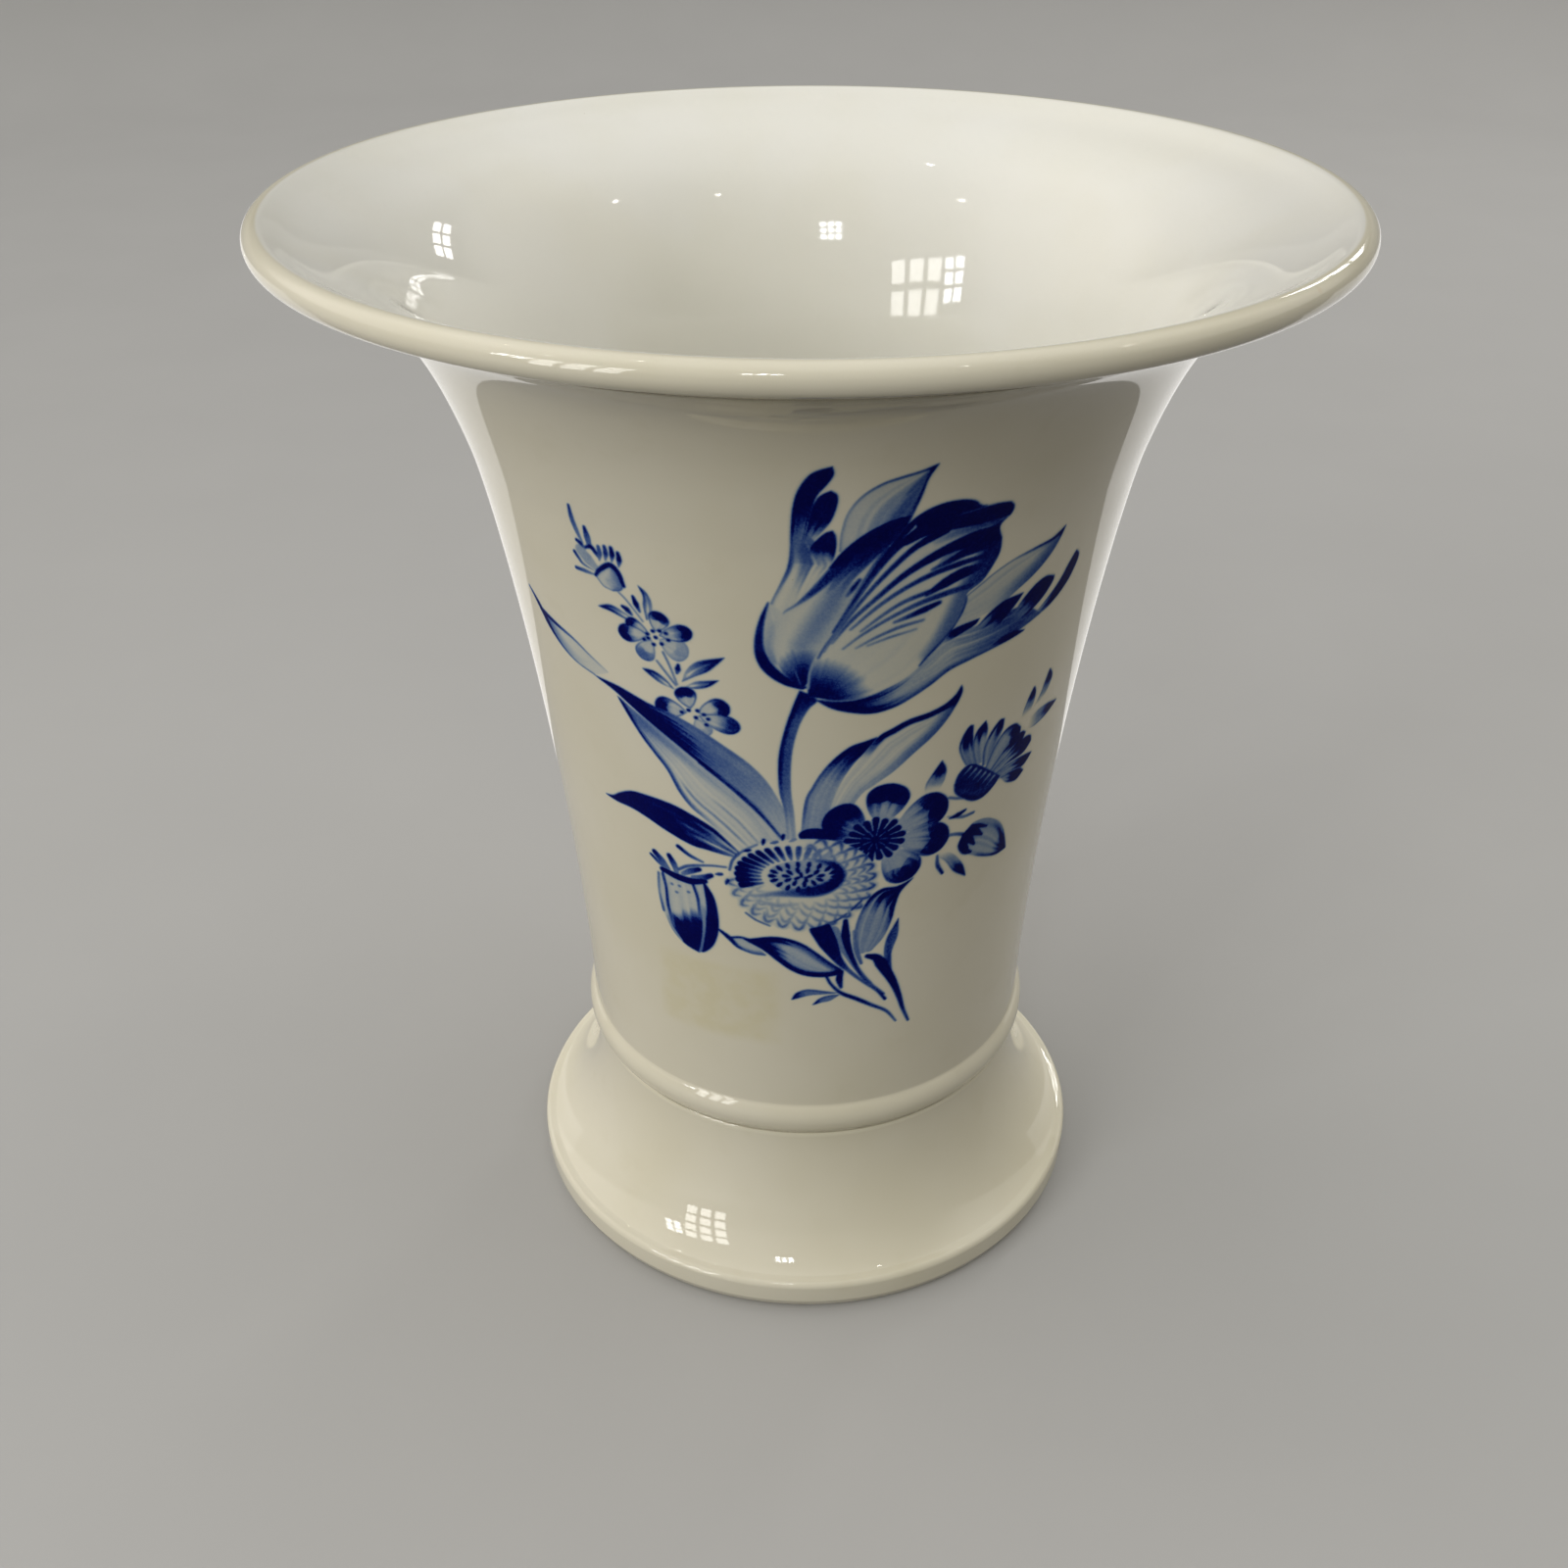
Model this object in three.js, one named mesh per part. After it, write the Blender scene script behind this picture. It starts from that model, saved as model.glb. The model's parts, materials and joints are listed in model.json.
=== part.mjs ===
// Footed porcelain trumpet vase, 180 mm tall and 160 mm across its rolled lip.
//
// Three pieces, luted together while the clay is still damp and fired as one vase:
//   trumpet_body      flaring wall, floor, rolled lip, bead and the spigot under the floor
//   spreading_foot    hollow foot whose collar takes the spigot and whose edge stands on the table
//   luting_slip_ring  the film of liquid clay that bonds the foot to the body
//
// Millimetres, +Z up. The origin is on the table, at the centre of the foot.
import * as THREE from 'three';

// Driving dimensions
const HEIGHT = 180;
const RIM_RADIUS = 80;
const FOOT_RADIUS = 51.3;
const WAIST_RADIUS = 39.6;
const WALL = 3.4;
const SEGMENTS = 64;

// Rolled lip
const LIP_ROUND = 2.1;
const LIP_CENTRE = [RIM_RADIUS - LIP_ROUND, HEIGHT - LIP_ROUND];
const LIP_START_DEGREES = -98;
const LIP_END_DEGREES = 118;

// Joint between body and foot
const SEAT_Z = 31;
const SLIP_THICKNESS = 0.6;
const SLIP_RADIUS = 39.0;
const SEAT_RADIUS = 39.2;
const SPIGOT_RADIUS = 35;
const SPIGOT_BORE = 32.5;
const SPIGOT_LENGTH = 2.5;
const SPIGOT_GAP = 0.4;
const COLLAR_TOP_Z = SEAT_Z - SLIP_THICKNESS;
const COLLAR_BORE = SPIGOT_RADIUS + SPIGOT_GAP;

// Floor of the vase
const FLOOR_UNDERSIDE_Z = 36;
const FLOOR_Z = 41;
const FLOOR_FILLET = 9;
const FLOOR_CORNER_RADIUS = 36.7;
const UNDERSIDE_FILLET = 1;

// Bead at the bottom of the body, part of a circle that stands proud of the waist
const BEAD_TOP_Z = 37.5;
const BEAD_Z = 34.4;
const BEAD_ROUND = 4.2;
const BEAD_PROUD = 1.2;
const BEAD_START_DEGREES = -53;
const BEAD_END_DEGREES = 43;

// Spreading foot
const FOOT_EDGE_TOP_Z = 6.2;
const FOOT_ARRIS = 1.2;
const FOOT_ARRIS_END_DEGREES = 75;
const BEARING_OUTER = 50.1;
const BEARING_INNER = 46.4;
const BEARING_CHAMFER = 1.2;
const COLLAR_LENGTH = 5;

const GLAZED_PORCELAIN = { color: '#dad5c3', roughness: 0.08, metalness: 0 };
const FIRED_SLIP = { color: '#cfc8b2', roughness: 0.3, metalness: 0 };

const point = (radius, z) => new THREE.Vector2(radius, z);

// The outside of the wall is two Bezier spans: nearly straight up from the waist, then the flare.
function outerWall() {
  const knee = point(52.4, 146);
  const straight = new THREE.CubicBezierCurve(
    point(WAIST_RADIUS, BEAD_TOP_Z), point(41.4, 87.5), point(49.4, 136), knee);
  const flare = new THREE.CubicBezierCurve(
    knee, point(61, 174.5), point(69.5, 171), point(77.2, 175.9));
  return { straight, flare };
}

// Points of a curve moved towards the inside of the vase by the wall thickness.
function insideOf(curve, steps) {
  const inside = [];
  for (let i = 0; i <= steps; i += 1) {
    const place = curve.getPoint(i / steps);
    const along = curve.getTangent(i / steps);
    inside.push(point(place.x - WALL * along.y, place.y + WALL * along.x));
  }
  return inside;
}

// Points of a circular arc, both ends included.
function arc(centreRadius, centreZ, round, startDegrees, endDegrees, steps) {
  const points = [];
  for (let i = 0; i <= steps; i += 1) {
    const angle = THREE.MathUtils.degToRad(startDegrees + (endDegrees - startDegrees) * i / steps);
    points.push(point(centreRadius + round * Math.cos(angle), centreZ + round * Math.sin(angle)));
  }
  return points;
}

function bead() {
  const centreRadius = WAIST_RADIUS + BEAD_PROUD - BEAD_ROUND;
  return arc(centreRadius, BEAD_Z, BEAD_ROUND, BEAD_START_DEGREES, BEAD_END_DEGREES, 7);
}

function trumpetBodyProfile() {
  const { straight, flare } = outerWall();
  const insideFlare = insideOf(flare, 7).reverse();
  const insideStraight = insideOf(straight, 5).reverse();
  const filletRadius = FLOOR_CORNER_RADIUS - FLOOR_FILLET;
  const undersideRadius = SPIGOT_BORE - UNDERSIDE_FILLET;
  const undersideZ = FLOOR_UNDERSIDE_Z - UNDERSIDE_FILLET;
  return [
    point(0, FLOOR_UNDERSIDE_Z),
    ...arc(undersideRadius, undersideZ, UNDERSIDE_FILLET, 90, 0, 3),
    point(SPIGOT_BORE, SEAT_Z - SPIGOT_LENGTH),
    point(SPIGOT_RADIUS, SEAT_Z - SPIGOT_LENGTH),
    point(SPIGOT_RADIUS, SEAT_Z),
    point(SEAT_RADIUS, SEAT_Z),
    ...bead(),
    ...straight.getPoints(6),
    ...flare.getPoints(8).slice(1),
    ...arc(...LIP_CENTRE, LIP_ROUND, LIP_START_DEGREES, LIP_END_DEGREES, 8),
    ...insideFlare,
    ...insideStraight.slice(1, -1),
    ...arc(filletRadius, FLOOR_Z + FLOOR_FILLET, FLOOR_FILLET, 0, -90, 5),
    point(0, FLOOR_Z),
  ];
}

// The hollow foot: collar, concave skirt, upright edge, bearing face, and the same shape inside.
function spreadingFootProfile() {
  const arrisRadius = FOOT_RADIUS - FOOT_ARRIS;
  const arrisZ = FOOT_EDGE_TOP_Z - FOOT_ARRIS;
  const skirt = new THREE.CubicBezierCurve(
    point(SEAT_RADIUS, COLLAR_TOP_Z), point(39.6, 19.5), point(43.5, 9.8), point(49.5, FOOT_EDGE_TOP_Z));
  const hollow = new THREE.CubicBezierCurve(
    point(BEARING_INNER - BEARING_CHAMFER, 2.2),
    point(40, 6.5), point(COLLAR_BORE, 15), point(COLLAR_BORE, COLLAR_TOP_Z - COLLAR_LENGTH));
  return [
    point(COLLAR_BORE, COLLAR_TOP_Z),
    ...hollow.getPoints(6).reverse(),
    point(BEARING_INNER, 0),
    point(BEARING_OUTER, 0),
    point(FOOT_RADIUS - 0.5, 0.7),
    point(FOOT_RADIUS, 2.2),
    ...arc(arrisRadius, arrisZ, FOOT_ARRIS, 0, FOOT_ARRIS_END_DEGREES, 3),
    ...skirt.getPoints(8).reverse(),
    point(COLLAR_BORE, COLLAR_TOP_Z),
  ];
}

// L-shaped in section: flat under the seat of the body, upright around its spigot.
function lutingSlipProfile() {
  const spigotEndZ = SEAT_Z - SPIGOT_LENGTH;
  return [
    point(SPIGOT_RADIUS, SEAT_Z),
    point(SPIGOT_RADIUS, spigotEndZ),
    point(COLLAR_BORE, spigotEndZ),
    point(COLLAR_BORE, COLLAR_TOP_Z),
    point(SLIP_RADIUS, COLLAR_TOP_Z),
    point(SLIP_RADIUS, SEAT_Z),
    point(SPIGOT_RADIUS, SEAT_Z),
  ];
}

// A profile is turned about the vase's own axis, which three.js calls Y and this part calls Z.
function turned(name, profile, material) {
  const geometry = new THREE.LatheGeometry(profile, SEGMENTS);
  geometry.rotateX(Math.PI / 2);
  const mesh = new THREE.Mesh(geometry, new THREE.MeshStandardMaterial(material));
  mesh.name = name;
  return mesh;
}

const vase = new THREE.Group();
vase.add(turned('trumpet_body', trumpetBodyProfile(), GLAZED_PORCELAIN));
vase.add(turned('spreading_foot', spreadingFootProfile(), GLAZED_PORCELAIN));
vase.add(turned('luting_slip_ring', lutingSlipProfile(), FIRED_SLIP));

export default vase;
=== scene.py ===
"""Footed porcelain trumpet vase with a bouquet in underglaze blue: its looks, in the CAD frame.

The body and foot are finer turnings of the CAD profiles, with the glaze's own small roundings.
The bouquet is painted stroke by stroke on a canvas wrapped round the front of the body. A place
on the canvas is u, the distance round the body from the middle of the front, and v, the height
above the table, both in mm. Each group of flowers then becomes its own thin painted sheet that
lies on the porcelain.
"""

import json
import math

import bpy
import numpy as np
from mathutils import Matrix, Vector

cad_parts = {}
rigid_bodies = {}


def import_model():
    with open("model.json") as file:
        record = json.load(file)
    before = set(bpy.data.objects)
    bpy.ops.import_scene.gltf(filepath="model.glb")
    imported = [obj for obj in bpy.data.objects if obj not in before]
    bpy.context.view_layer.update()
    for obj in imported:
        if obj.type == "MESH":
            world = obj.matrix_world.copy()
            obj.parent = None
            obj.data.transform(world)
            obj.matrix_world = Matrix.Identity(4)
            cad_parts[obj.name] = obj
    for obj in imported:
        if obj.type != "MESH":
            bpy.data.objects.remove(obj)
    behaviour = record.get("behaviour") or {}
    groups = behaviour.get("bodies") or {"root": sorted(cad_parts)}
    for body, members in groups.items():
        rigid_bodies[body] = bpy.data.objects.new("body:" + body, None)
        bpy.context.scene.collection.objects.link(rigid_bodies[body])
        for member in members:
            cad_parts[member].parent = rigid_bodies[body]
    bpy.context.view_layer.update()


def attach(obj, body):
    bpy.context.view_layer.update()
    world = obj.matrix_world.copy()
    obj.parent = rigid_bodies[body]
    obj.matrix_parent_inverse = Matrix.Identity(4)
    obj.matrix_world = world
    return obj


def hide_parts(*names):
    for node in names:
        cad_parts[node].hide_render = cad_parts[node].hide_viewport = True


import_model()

MM = 0.001
SEGMENTS = 384          # faces round the vase
SAME_PLACE = 1e-4       # mm between two points that count as one
SHARP_DEGREES = 40

# Driving dimensions of the CAD model, in mm
HEIGHT = 180.0
RIM_RADIUS = 80.0
LIP_ROUND = 2.1
WAIST_RADIUS = 39.6
WALL = 3.4
SPIGOT_RADIUS = 35.0
SPIGOT_BORE = 32.5
SPIGOT_END_Z = 28.5
SEAT_Z = 31.0
SLIP_Z = 30.4
SLIP_RADIUS = 35.4
BEAD_RADIUS = 36.6
BEAD_Z = 34.4
BEAD_ROUND = 4.2
BEAD_TOP_Z = 37.5
UNDERSIDE_Z = 36.0
UNDERSIDE_FILLET = 1.0
FLOOR_Z = 41.0
FLOOR_FILLET = 9.0
FLOOR_FILLET_RADIUS = 27.7
FOOT_RADIUS = 51.3
FOOT_EDGE_Z = 6.2
FOOT_ARRIS = 1.2

# What the looks add to it, in mm
SLIP_GAP = 0.04         # clear of the body above and the foot below
RING_ROUND = 0.25


# ---------------------------------------------------------------- turned shapes
def bezier(start, first, second, end, steps):
    """Points of a cubic curve, and the direction it runs in at each."""
    a, b, c, d = (np.array(p, dtype=float) for p in (start, first, second, end))
    t = np.linspace(0, 1, steps + 1)[:, None]
    place = (1 - t) ** 3 * a + 3 * (1 - t) ** 2 * t * b + 3 * (1 - t) * t ** 2 * c + t ** 3 * d
    run = 3 * (1 - t) ** 2 * (b - a) + 6 * (1 - t) * t * (c - b) + 3 * t ** 2 * (d - c)
    return place, run / np.hypot(run[:, 0], run[:, 1])[:, None]


def arc(radius, z, round_, start, end, steps):
    """Points of a circle's arc about (radius, z), from one angle in degrees to another."""
    angle = np.radians(np.linspace(start, end, steps + 1))
    return np.stack([radius + round_ * np.cos(angle), z + round_ * np.sin(angle)], axis=1)


KNEE = (52.4, 146.0)
STRAIGHT, STRAIGHT_RUN = bezier((WAIST_RADIUS, BEAD_TOP_Z), (41.4, 87.5), (49.4, 136), KNEE, 110)
FLARE, FLARE_RUN = bezier(KNEE, (61, 174.5), (69.5, 171), (77.2, 175.9), 60)
WALL_LINE = np.vstack([STRAIGHT, FLARE[1:]])
WALL_RUN = np.vstack([STRAIGHT_RUN, FLARE_RUN[1:]])


def inside_of(place, run):
    """The same line moved inwards by the wall's thickness."""
    return np.stack([place[:, 0] - WALL * run[:, 1], place[:, 1] + WALL * run[:, 0]], axis=1)


def body_profile():
    """From the middle of the underside round the outside and the lip to the middle of the floor."""
    seat_edge = [(38.75, SEAT_Z), (38.98, SEAT_Z + 0.05)]
    crease = [(39.61, 37.42), (39.6, 37.62), (39.61, 37.95)]
    fillet_z = FLOOR_Z + FLOOR_FILLET
    return np.vstack([
        [(0, UNDERSIDE_Z), (16, UNDERSIDE_Z), (31, UNDERSIDE_Z)],
        arc(SPIGOT_BORE - UNDERSIDE_FILLET, UNDERSIDE_Z - UNDERSIDE_FILLET, UNDERSIDE_FILLET, 80, 0, 6),
        [(SPIGOT_BORE, SPIGOT_END_Z), (SPIGOT_RADIUS, SPIGOT_END_Z), (SPIGOT_RADIUS, SEAT_Z)],
        seat_edge,
        arc(BEAD_RADIUS, BEAD_Z, BEAD_ROUND, -52, 40, 40),
        crease,
        WALL_LINE[2:],
        arc(RIM_RADIUS - LIP_ROUND, HEIGHT - LIP_ROUND, LIP_ROUND, -97, 117, 36),
        inside_of(FLARE, FLARE_RUN)[::-1],
        [p for p in inside_of(STRAIGHT, STRAIGHT_RUN)[::-1][1:] if p[1] > fillet_z + 0.5],
        arc(FLOOR_FILLET_RADIUS, fillet_z, FLOOR_FILLET, 0, -90, 18),
        [(14, FLOOR_Z), (0, FLOOR_Z)],
    ])


def foot_profile():
    """From the collar's bore down inside the hollow, under the edge, and up the skirt."""
    hollow, _ = bezier((45.2, 2.2), (40, 6.5), (SLIP_RADIUS, 15), (SLIP_RADIUS, 25.4), 36)
    skirt, _ = bezier((39.2, 30.1), (39.6, 19.5), (43.5, 9.8), (49.5, FOOT_EDGE_Z), 60)
    return np.vstack([
        [(38.95, SLIP_Z), (SLIP_RADIUS, SLIP_Z)],
        hollow[::-1],
        [(45.75, 0.95), (46.0, 0.45)],
        arc(46.6, 0.35, 0.3, 180, 270, 4),
        arc(50.0, 0.55, 0.5, -90, -30, 5),
        [(50.9, 0.95)],
        arc(FOOT_RADIUS - 0.8, 2.2, 0.8, -25, 0, 4),
        arc(FOOT_RADIUS - FOOT_ARRIS, FOOT_EDGE_Z - FOOT_ARRIS, FOOT_ARRIS, 0, 75, 12),
        skirt[::-1],
    ])


def slip_profile():
    """The film's section, with the rounded edge that shows as a fine line under the bead."""
    top, low = SEAT_Z - SLIP_GAP, SLIP_Z + SLIP_GAP
    return np.array([
        (SPIGOT_RADIUS, top), (SPIGOT_RADIUS, SPIGOT_END_Z),
        (SLIP_RADIUS, SPIGOT_END_Z), (SLIP_RADIUS, low),
        (38.7, low), (38.86, 30.52), (38.92, 30.7), (38.86, 30.88), (38.7, top),
    ])


def biscuit_profile():
    """The unglazed ring's section: just proud of the foot's underside, rounded at both edges."""
    return np.vstack([
        arc(47.2, RING_ROUND, RING_ROUND, 190, 268, 4),
        arc(49.4, RING_ROUND, RING_ROUND, -88, -10, 4),
        [(49.2, 0.3), (47.4, 0.3)],
    ])


def turned(name, profile, closed, material, stands_for=()):
    """A mesh from a profile of (radius, z) in mm turned round the vase's axis."""
    keep = [0]
    for index in range(1, len(profile)):
        if np.hypot(*(profile[index] - profile[keep[-1]])) > SAME_PLACE:
            keep.append(index)
    profile = profile[keep]
    angles = np.arange(SEGMENTS) * 2 * math.pi / SEGMENTS
    points, rings = [], []
    for radius, z in profile * MM:
        first = len(points)
        if radius == 0:
            points.append((0, 0, z))
            rings.append([first] * SEGMENTS)
        else:
            points += [(radius * math.cos(a), radius * math.sin(a), z) for a in angles]
            rings.append(range(first, first + SEGMENTS))
    pairs = list(zip(rings[:-1], rings[1:])) + ([(rings[-1], rings[0])] if closed else [])
    faces = []
    for low, high in pairs:
        for i in range(SEGMENTS):
            j = (i + 1) % SEGMENTS
            corners = [low[i], low[j], high[j], high[i]]
            faces.append([c for n, c in enumerate(corners) if c not in corners[:n]])
    return piece(name, points, faces, material, stands_for)


def piece(name, points, faces, material, stands_for=()):
    """One visible piece that rides on the vase's body and may stand for nodes of the CAD."""
    mesh = bpy.data.meshes.new(name)
    mesh.from_pydata(points, [], faces)
    mesh.update()
    mesh.shade_smooth()
    mesh.set_sharp_from_angle(angle=math.radians(SHARP_DEGREES))
    mesh.materials.append(material)
    made = bpy.data.objects.new(name, mesh)
    bpy.context.scene.collection.objects.link(made)
    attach(made, "root")
    if stands_for:
        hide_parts(*stands_for)
    return made


# ---------------------------------------------------------------- materials
class Shade:
    """A material's nodes, wired by short calls. The nodes work in metres, and sizes are given in mm."""

    def __init__(self, name):
        self.material = bpy.data.materials.new(name)
        self.material.use_nodes = True
        self.tree = self.material.node_tree
        self.surface = self.tree.nodes["Principled BSDF"]
        self.place = self.node("ShaderNodeTexCoord").outputs["Object"]

    def node(self, kind, **settings):
        made = self.tree.nodes.new(kind)
        for key, value in settings.items():
            setattr(made, key, value)
        return made

    def link(self, value, socket):
        if hasattr(value, "is_linked"):
            self.tree.links.new(value, socket)
        else:
            socket.default_value = value

    def noise(self, size, detail=2.0, roughness=0.5):
        """Soft noise from 0 to 1 whose lumps are about size mm across."""
        made = self.node("ShaderNodeTexNoise")
        self.link(self.place, made.inputs["Vector"])
        self.link(1 / (size * MM), made.inputs["Scale"])
        self.link(detail, made.inputs["Detail"])
        self.link(roughness, made.inputs["Roughness"])
        return made.outputs["Fac"]

    def math(self, operation, a, b):
        made = self.node("ShaderNodeMath", operation=operation)
        self.link(a, made.inputs[0])
        self.link(b, made.inputs[1])
        return made.outputs["Value"]

    def times(self, *factors):
        product = factors[0]
        for factor in factors[1:]:
            product = self.math("MULTIPLY", product, factor)
        return product

    def within(self, value, low, high, soft):
        """1 between low and high, fading out over soft inside each end."""
        return self.times(self.ramp(value, low, low + soft), self.ramp(value, high - soft, high, 1.0, 0.0))

    def vary(self, size, a, b, detail=3, roughness=0.5):
        """A colour that drifts from a to b in lumps of about size mm."""
        return self.blend(self.ramp(self.noise(size, detail, roughness), 0.35, 0.7), a, b)

    def vector_math(self, operation, first, second, third=None):
        made = self.node("ShaderNodeVectorMath", operation=operation)
        for value, socket in zip((first, second, third), made.inputs):
            if value is not None:
                self.link(value, socket)
        return made.outputs["Value" if operation in ("DOT_PRODUCT", "DISTANCE") else "Vector"]

    def ramp(self, value, low, high, start=0.0, end=1.0):
        """start below low, end above high, and a smooth change between."""
        made = self.node("ShaderNodeMapRange", interpolation_type="SMOOTHSTEP")
        for item, socket in zip((value, low, high, start, end), made.inputs):
            self.link(item, socket)
        return made.outputs["Result"]

    def blend(self, factor, a, b):
        """a where factor is 0 and b where it is 1; both are colours."""
        made = self.node("ShaderNodeMix", data_type="RGBA")
        for value, number in ((factor, 0), (a, 6), (b, 7)):     # a colour mix has its colours at 6 and 7
            self.link(value, made.inputs[number])
        return made.outputs[2]

    def flecks(self, spacing, size, share, seed):
        """1 inside sparse round specks size mm across, in a share of cells spacing mm wide."""
        cells = self.node("ShaderNodeTexVoronoi", feature="F1")
        shift = (seed * 0.013, seed * 0.029, seed * 0.017)
        self.link(self.vector_math("ADD", self.place, shift), cells.inputs["Vector"])
        self.link(1 / (spacing * MM), cells.inputs["Scale"])
        near = self.ramp(cells.outputs["Distance"], 0.25 * size / spacing, 0.6 * size / spacing, 1.0, 0.0)
        parts = self.node("ShaderNodeSeparateColor")
        self.link(cells.outputs["Color"], parts.inputs["Color"])
        chosen = self.math("GREATER_THAN", parts.outputs["Red"], 1 - share)
        return self.times(near, chosen)

    def spot(self, centre, size):
        """1 at a place given in mm, fading out at size mm from it."""
        away = self.vector_math("DISTANCE", self.place, Vector(centre) * MM)
        return self.ramp(away, 0.1 * size * MM, size * MM, 1.0, 0.0)

    def inwards(self):
        """1 on faces that look towards the vase's own axis, 0 on faces that look away from it."""
        flat = self.vector_math("MULTIPLY", self.place, (-1 / MIDDLE_RADIUS, -1 / MIDDLE_RADIUS, 0))
        normal = self.node("ShaderNodeTexCoord").outputs["Normal"]
        return self.ramp(self.vector_math("DOT_PRODUCT", flat, normal), -0.05, 0.25)

    def bump(self, layers):
        """Relief from (height field, depth in mm) layers."""
        normal = None
        for height, depth in layers:
            made = self.node("ShaderNodeBump")
            made.inputs["Strength"].default_value = 1.0
            made.inputs["Distance"].default_value = depth * MM
            self.link(height, made.inputs["Height"])
            if normal:
                self.link(normal, made.inputs["Normal"])
            normal = made.outputs["Normal"]
        self.link(normal, self.surface.inputs["Normal"])


MIDDLE_RADIUS = 0.06                      # metres from the axis, typical of the glazed surfaces
IVORY = (0.680, 0.637, 0.492, 1)
IVORY_THICK = (0.630, 0.583, 0.430, 1)
IVORY_THIN = (0.715, 0.675, 0.545, 1)
# Painted light: whiter, cooler copies of the ivory for faces that look inwards, standing in for the
# brighter, less yellow light inside the mouth
INSIDE_PAINTED_LIGHT = (0.800, 0.785, 0.705, 1)
INSIDE_THIN_PAINTED_LIGHT = (0.820, 0.810, 0.750, 1)
IRON_BROWN = (0.16, 0.075, 0.03, 1)
RUST_STAIN = (0.62, 0.40, 0.20, 1)
RESIDUE = (0.65, 0.595, 0.385, 1)
PIGMENT_PASSES = (0.0045, 0.022, 0.31)    # share of red, green, blue that full pigment lets through
PIGMENT_GLOW = (0.0, 0.0002, 0.006)       # what thick cobalt gives back by itself
PIGMENT_GLOSS = 0.018                     # low, which keeps the painted strokes dark
GLAZE_GLOSS = 0.42
GLAZE_IOR = 1.52
GLUE_SIDES = (-0.0250, -0.0030)           # metres
GLUE_ENDS = (0.0505, 0.0685)
# Each spot's place and size in mm, and how strong it is
RUST_SPOTS = (((22, 50.5, 112), 2.6, 0.55), ((-47, 64.5, 178.6), 1.4, 0.6), ((61, -50, 179.0), 1.0, 0.5))


def old_glue(s):
    """The faint square where a label was once stuck, low on the front of the body."""
    parts = s.node("ShaderNodeSeparateXYZ")
    s.link(s.place, parts.inputs["Vector"])
    across = s.within(parts.outputs["X"], *GLUE_SIDES, 0.003)
    upright = s.within(parts.outputs["Z"], *GLUE_ENDS, 0.0025)
    front = s.math("LESS_THAN", parts.outputs["Y"], 0.0)
    return s.times(across, upright, front, s.ramp(s.noise(3.5, 3), 0.3, 0.7, 0.3, 0.7))


def tinted_by_pigment(s, colour):
    """The colour under as much cobalt as the painted sheet carries at each place."""
    amount = s.node("ShaderNodeAttribute", attribute_name="pigment").outputs["Fac"]
    grain = s.ramp(s.noise(0.42, 3, 0.7), 0.25, 0.75, 0.86, 1.12)
    pooled = s.ramp(s.noise(2.6, 2), 0.3, 0.7, 0.95, 1.05)
    amount = s.times(amount, grain, pooled)
    amount = s.math("ADD", amount, s.ramp(amount, 0.55, 1.0, 0.0, 0.7))
    passes = s.node("ShaderNodeCombineColor")
    glow = s.node("ShaderNodeCombineColor")
    thick = s.ramp(amount, 0.0, 1.0)
    for channel, share, back in zip(("Red", "Green", "Blue"), PIGMENT_PASSES, PIGMENT_GLOW):
        s.link(s.math("POWER", share, amount), passes.inputs[channel])
        s.link(s.times(thick, back), glow.inputs[channel])
    return s.vector_math("MULTIPLY_ADD", colour, passes.outputs["Color"], glow.outputs["Color"])


def glaze(name, pigment=False):
    """Warm white porcelain under a clear gloss, or where pigment is set, cobalt painted on it."""
    s = Shade(name)
    colour = s.vary(38, IVORY_THIN, IVORY)
    colour = s.blend(s.ramp(s.noise(9, 4, 0.6), 0.55, 0.85, 0.0, 0.35), colour, IVORY_THICK)
    # painted light: the same glaze painted whiter and cooler where its faces look towards the axis
    colour = s.blend(s.inwards(), colour, s.vary(30, INSIDE_THIN_PAINTED_LIGHT, INSIDE_PAINTED_LIGHT))
    colour = s.blend(old_glue(s), colour, RESIDUE)
    specks = s.flecks(15, 0.42, 0.22, 1)
    colour = s.blend(s.times(specks, 0.75), colour, IRON_BROWN)
    pits = s.flecks(6.5, 0.22, 0.3, 5)
    colour = s.blend(s.times(pits, 0.35), colour, IRON_BROWN)
    for centre, size, depth in RUST_SPOTS:
        colour = s.blend(s.times(s.spot(centre, size), depth), colour, RUST_STAIN)
    if pigment:
        colour = tinted_by_pigment(s, colour)
    s.link(colour, s.surface.inputs["Base Color"])
    s.link(s.ramp(s.noise(12, 3), 0.3, 0.8, 0.030, 0.060), s.surface.inputs["Roughness"])
    s.surface.inputs["IOR"].default_value = GLAZE_IOR
    s.surface.inputs["Specular IOR Level"].default_value = PIGMENT_GLOSS if pigment else GLAZE_GLOSS
    s.bump([(s.noise(34, 1), 0.10), (s.noise(2.4, 2), 0.0012)])
    return s.material


def unglazed():
    """The dry, slightly gritty ring that the vase stands on, with table dirt rubbed into it."""
    s = Shade("biscuit_bearing_ring")
    grit = s.noise(0.5, 5, 0.7)
    colour = s.vary(5, (0.62, 0.57, 0.47, 1), (0.50, 0.44, 0.34, 1), 4, 0.6)
    colour = s.blend(s.ramp(grit, 0.58, 0.75, 0.0, 0.6), colour, (0.26, 0.21, 0.16, 1))
    s.link(colour, s.surface.inputs["Base Color"])
    s.link(s.ramp(grit, 0.3, 0.7, 0.75, 0.95), s.surface.inputs["Roughness"])
    s.bump([(s.noise(4, 2), 0.05), (grit, 0.03)])
    return s.material


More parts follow.
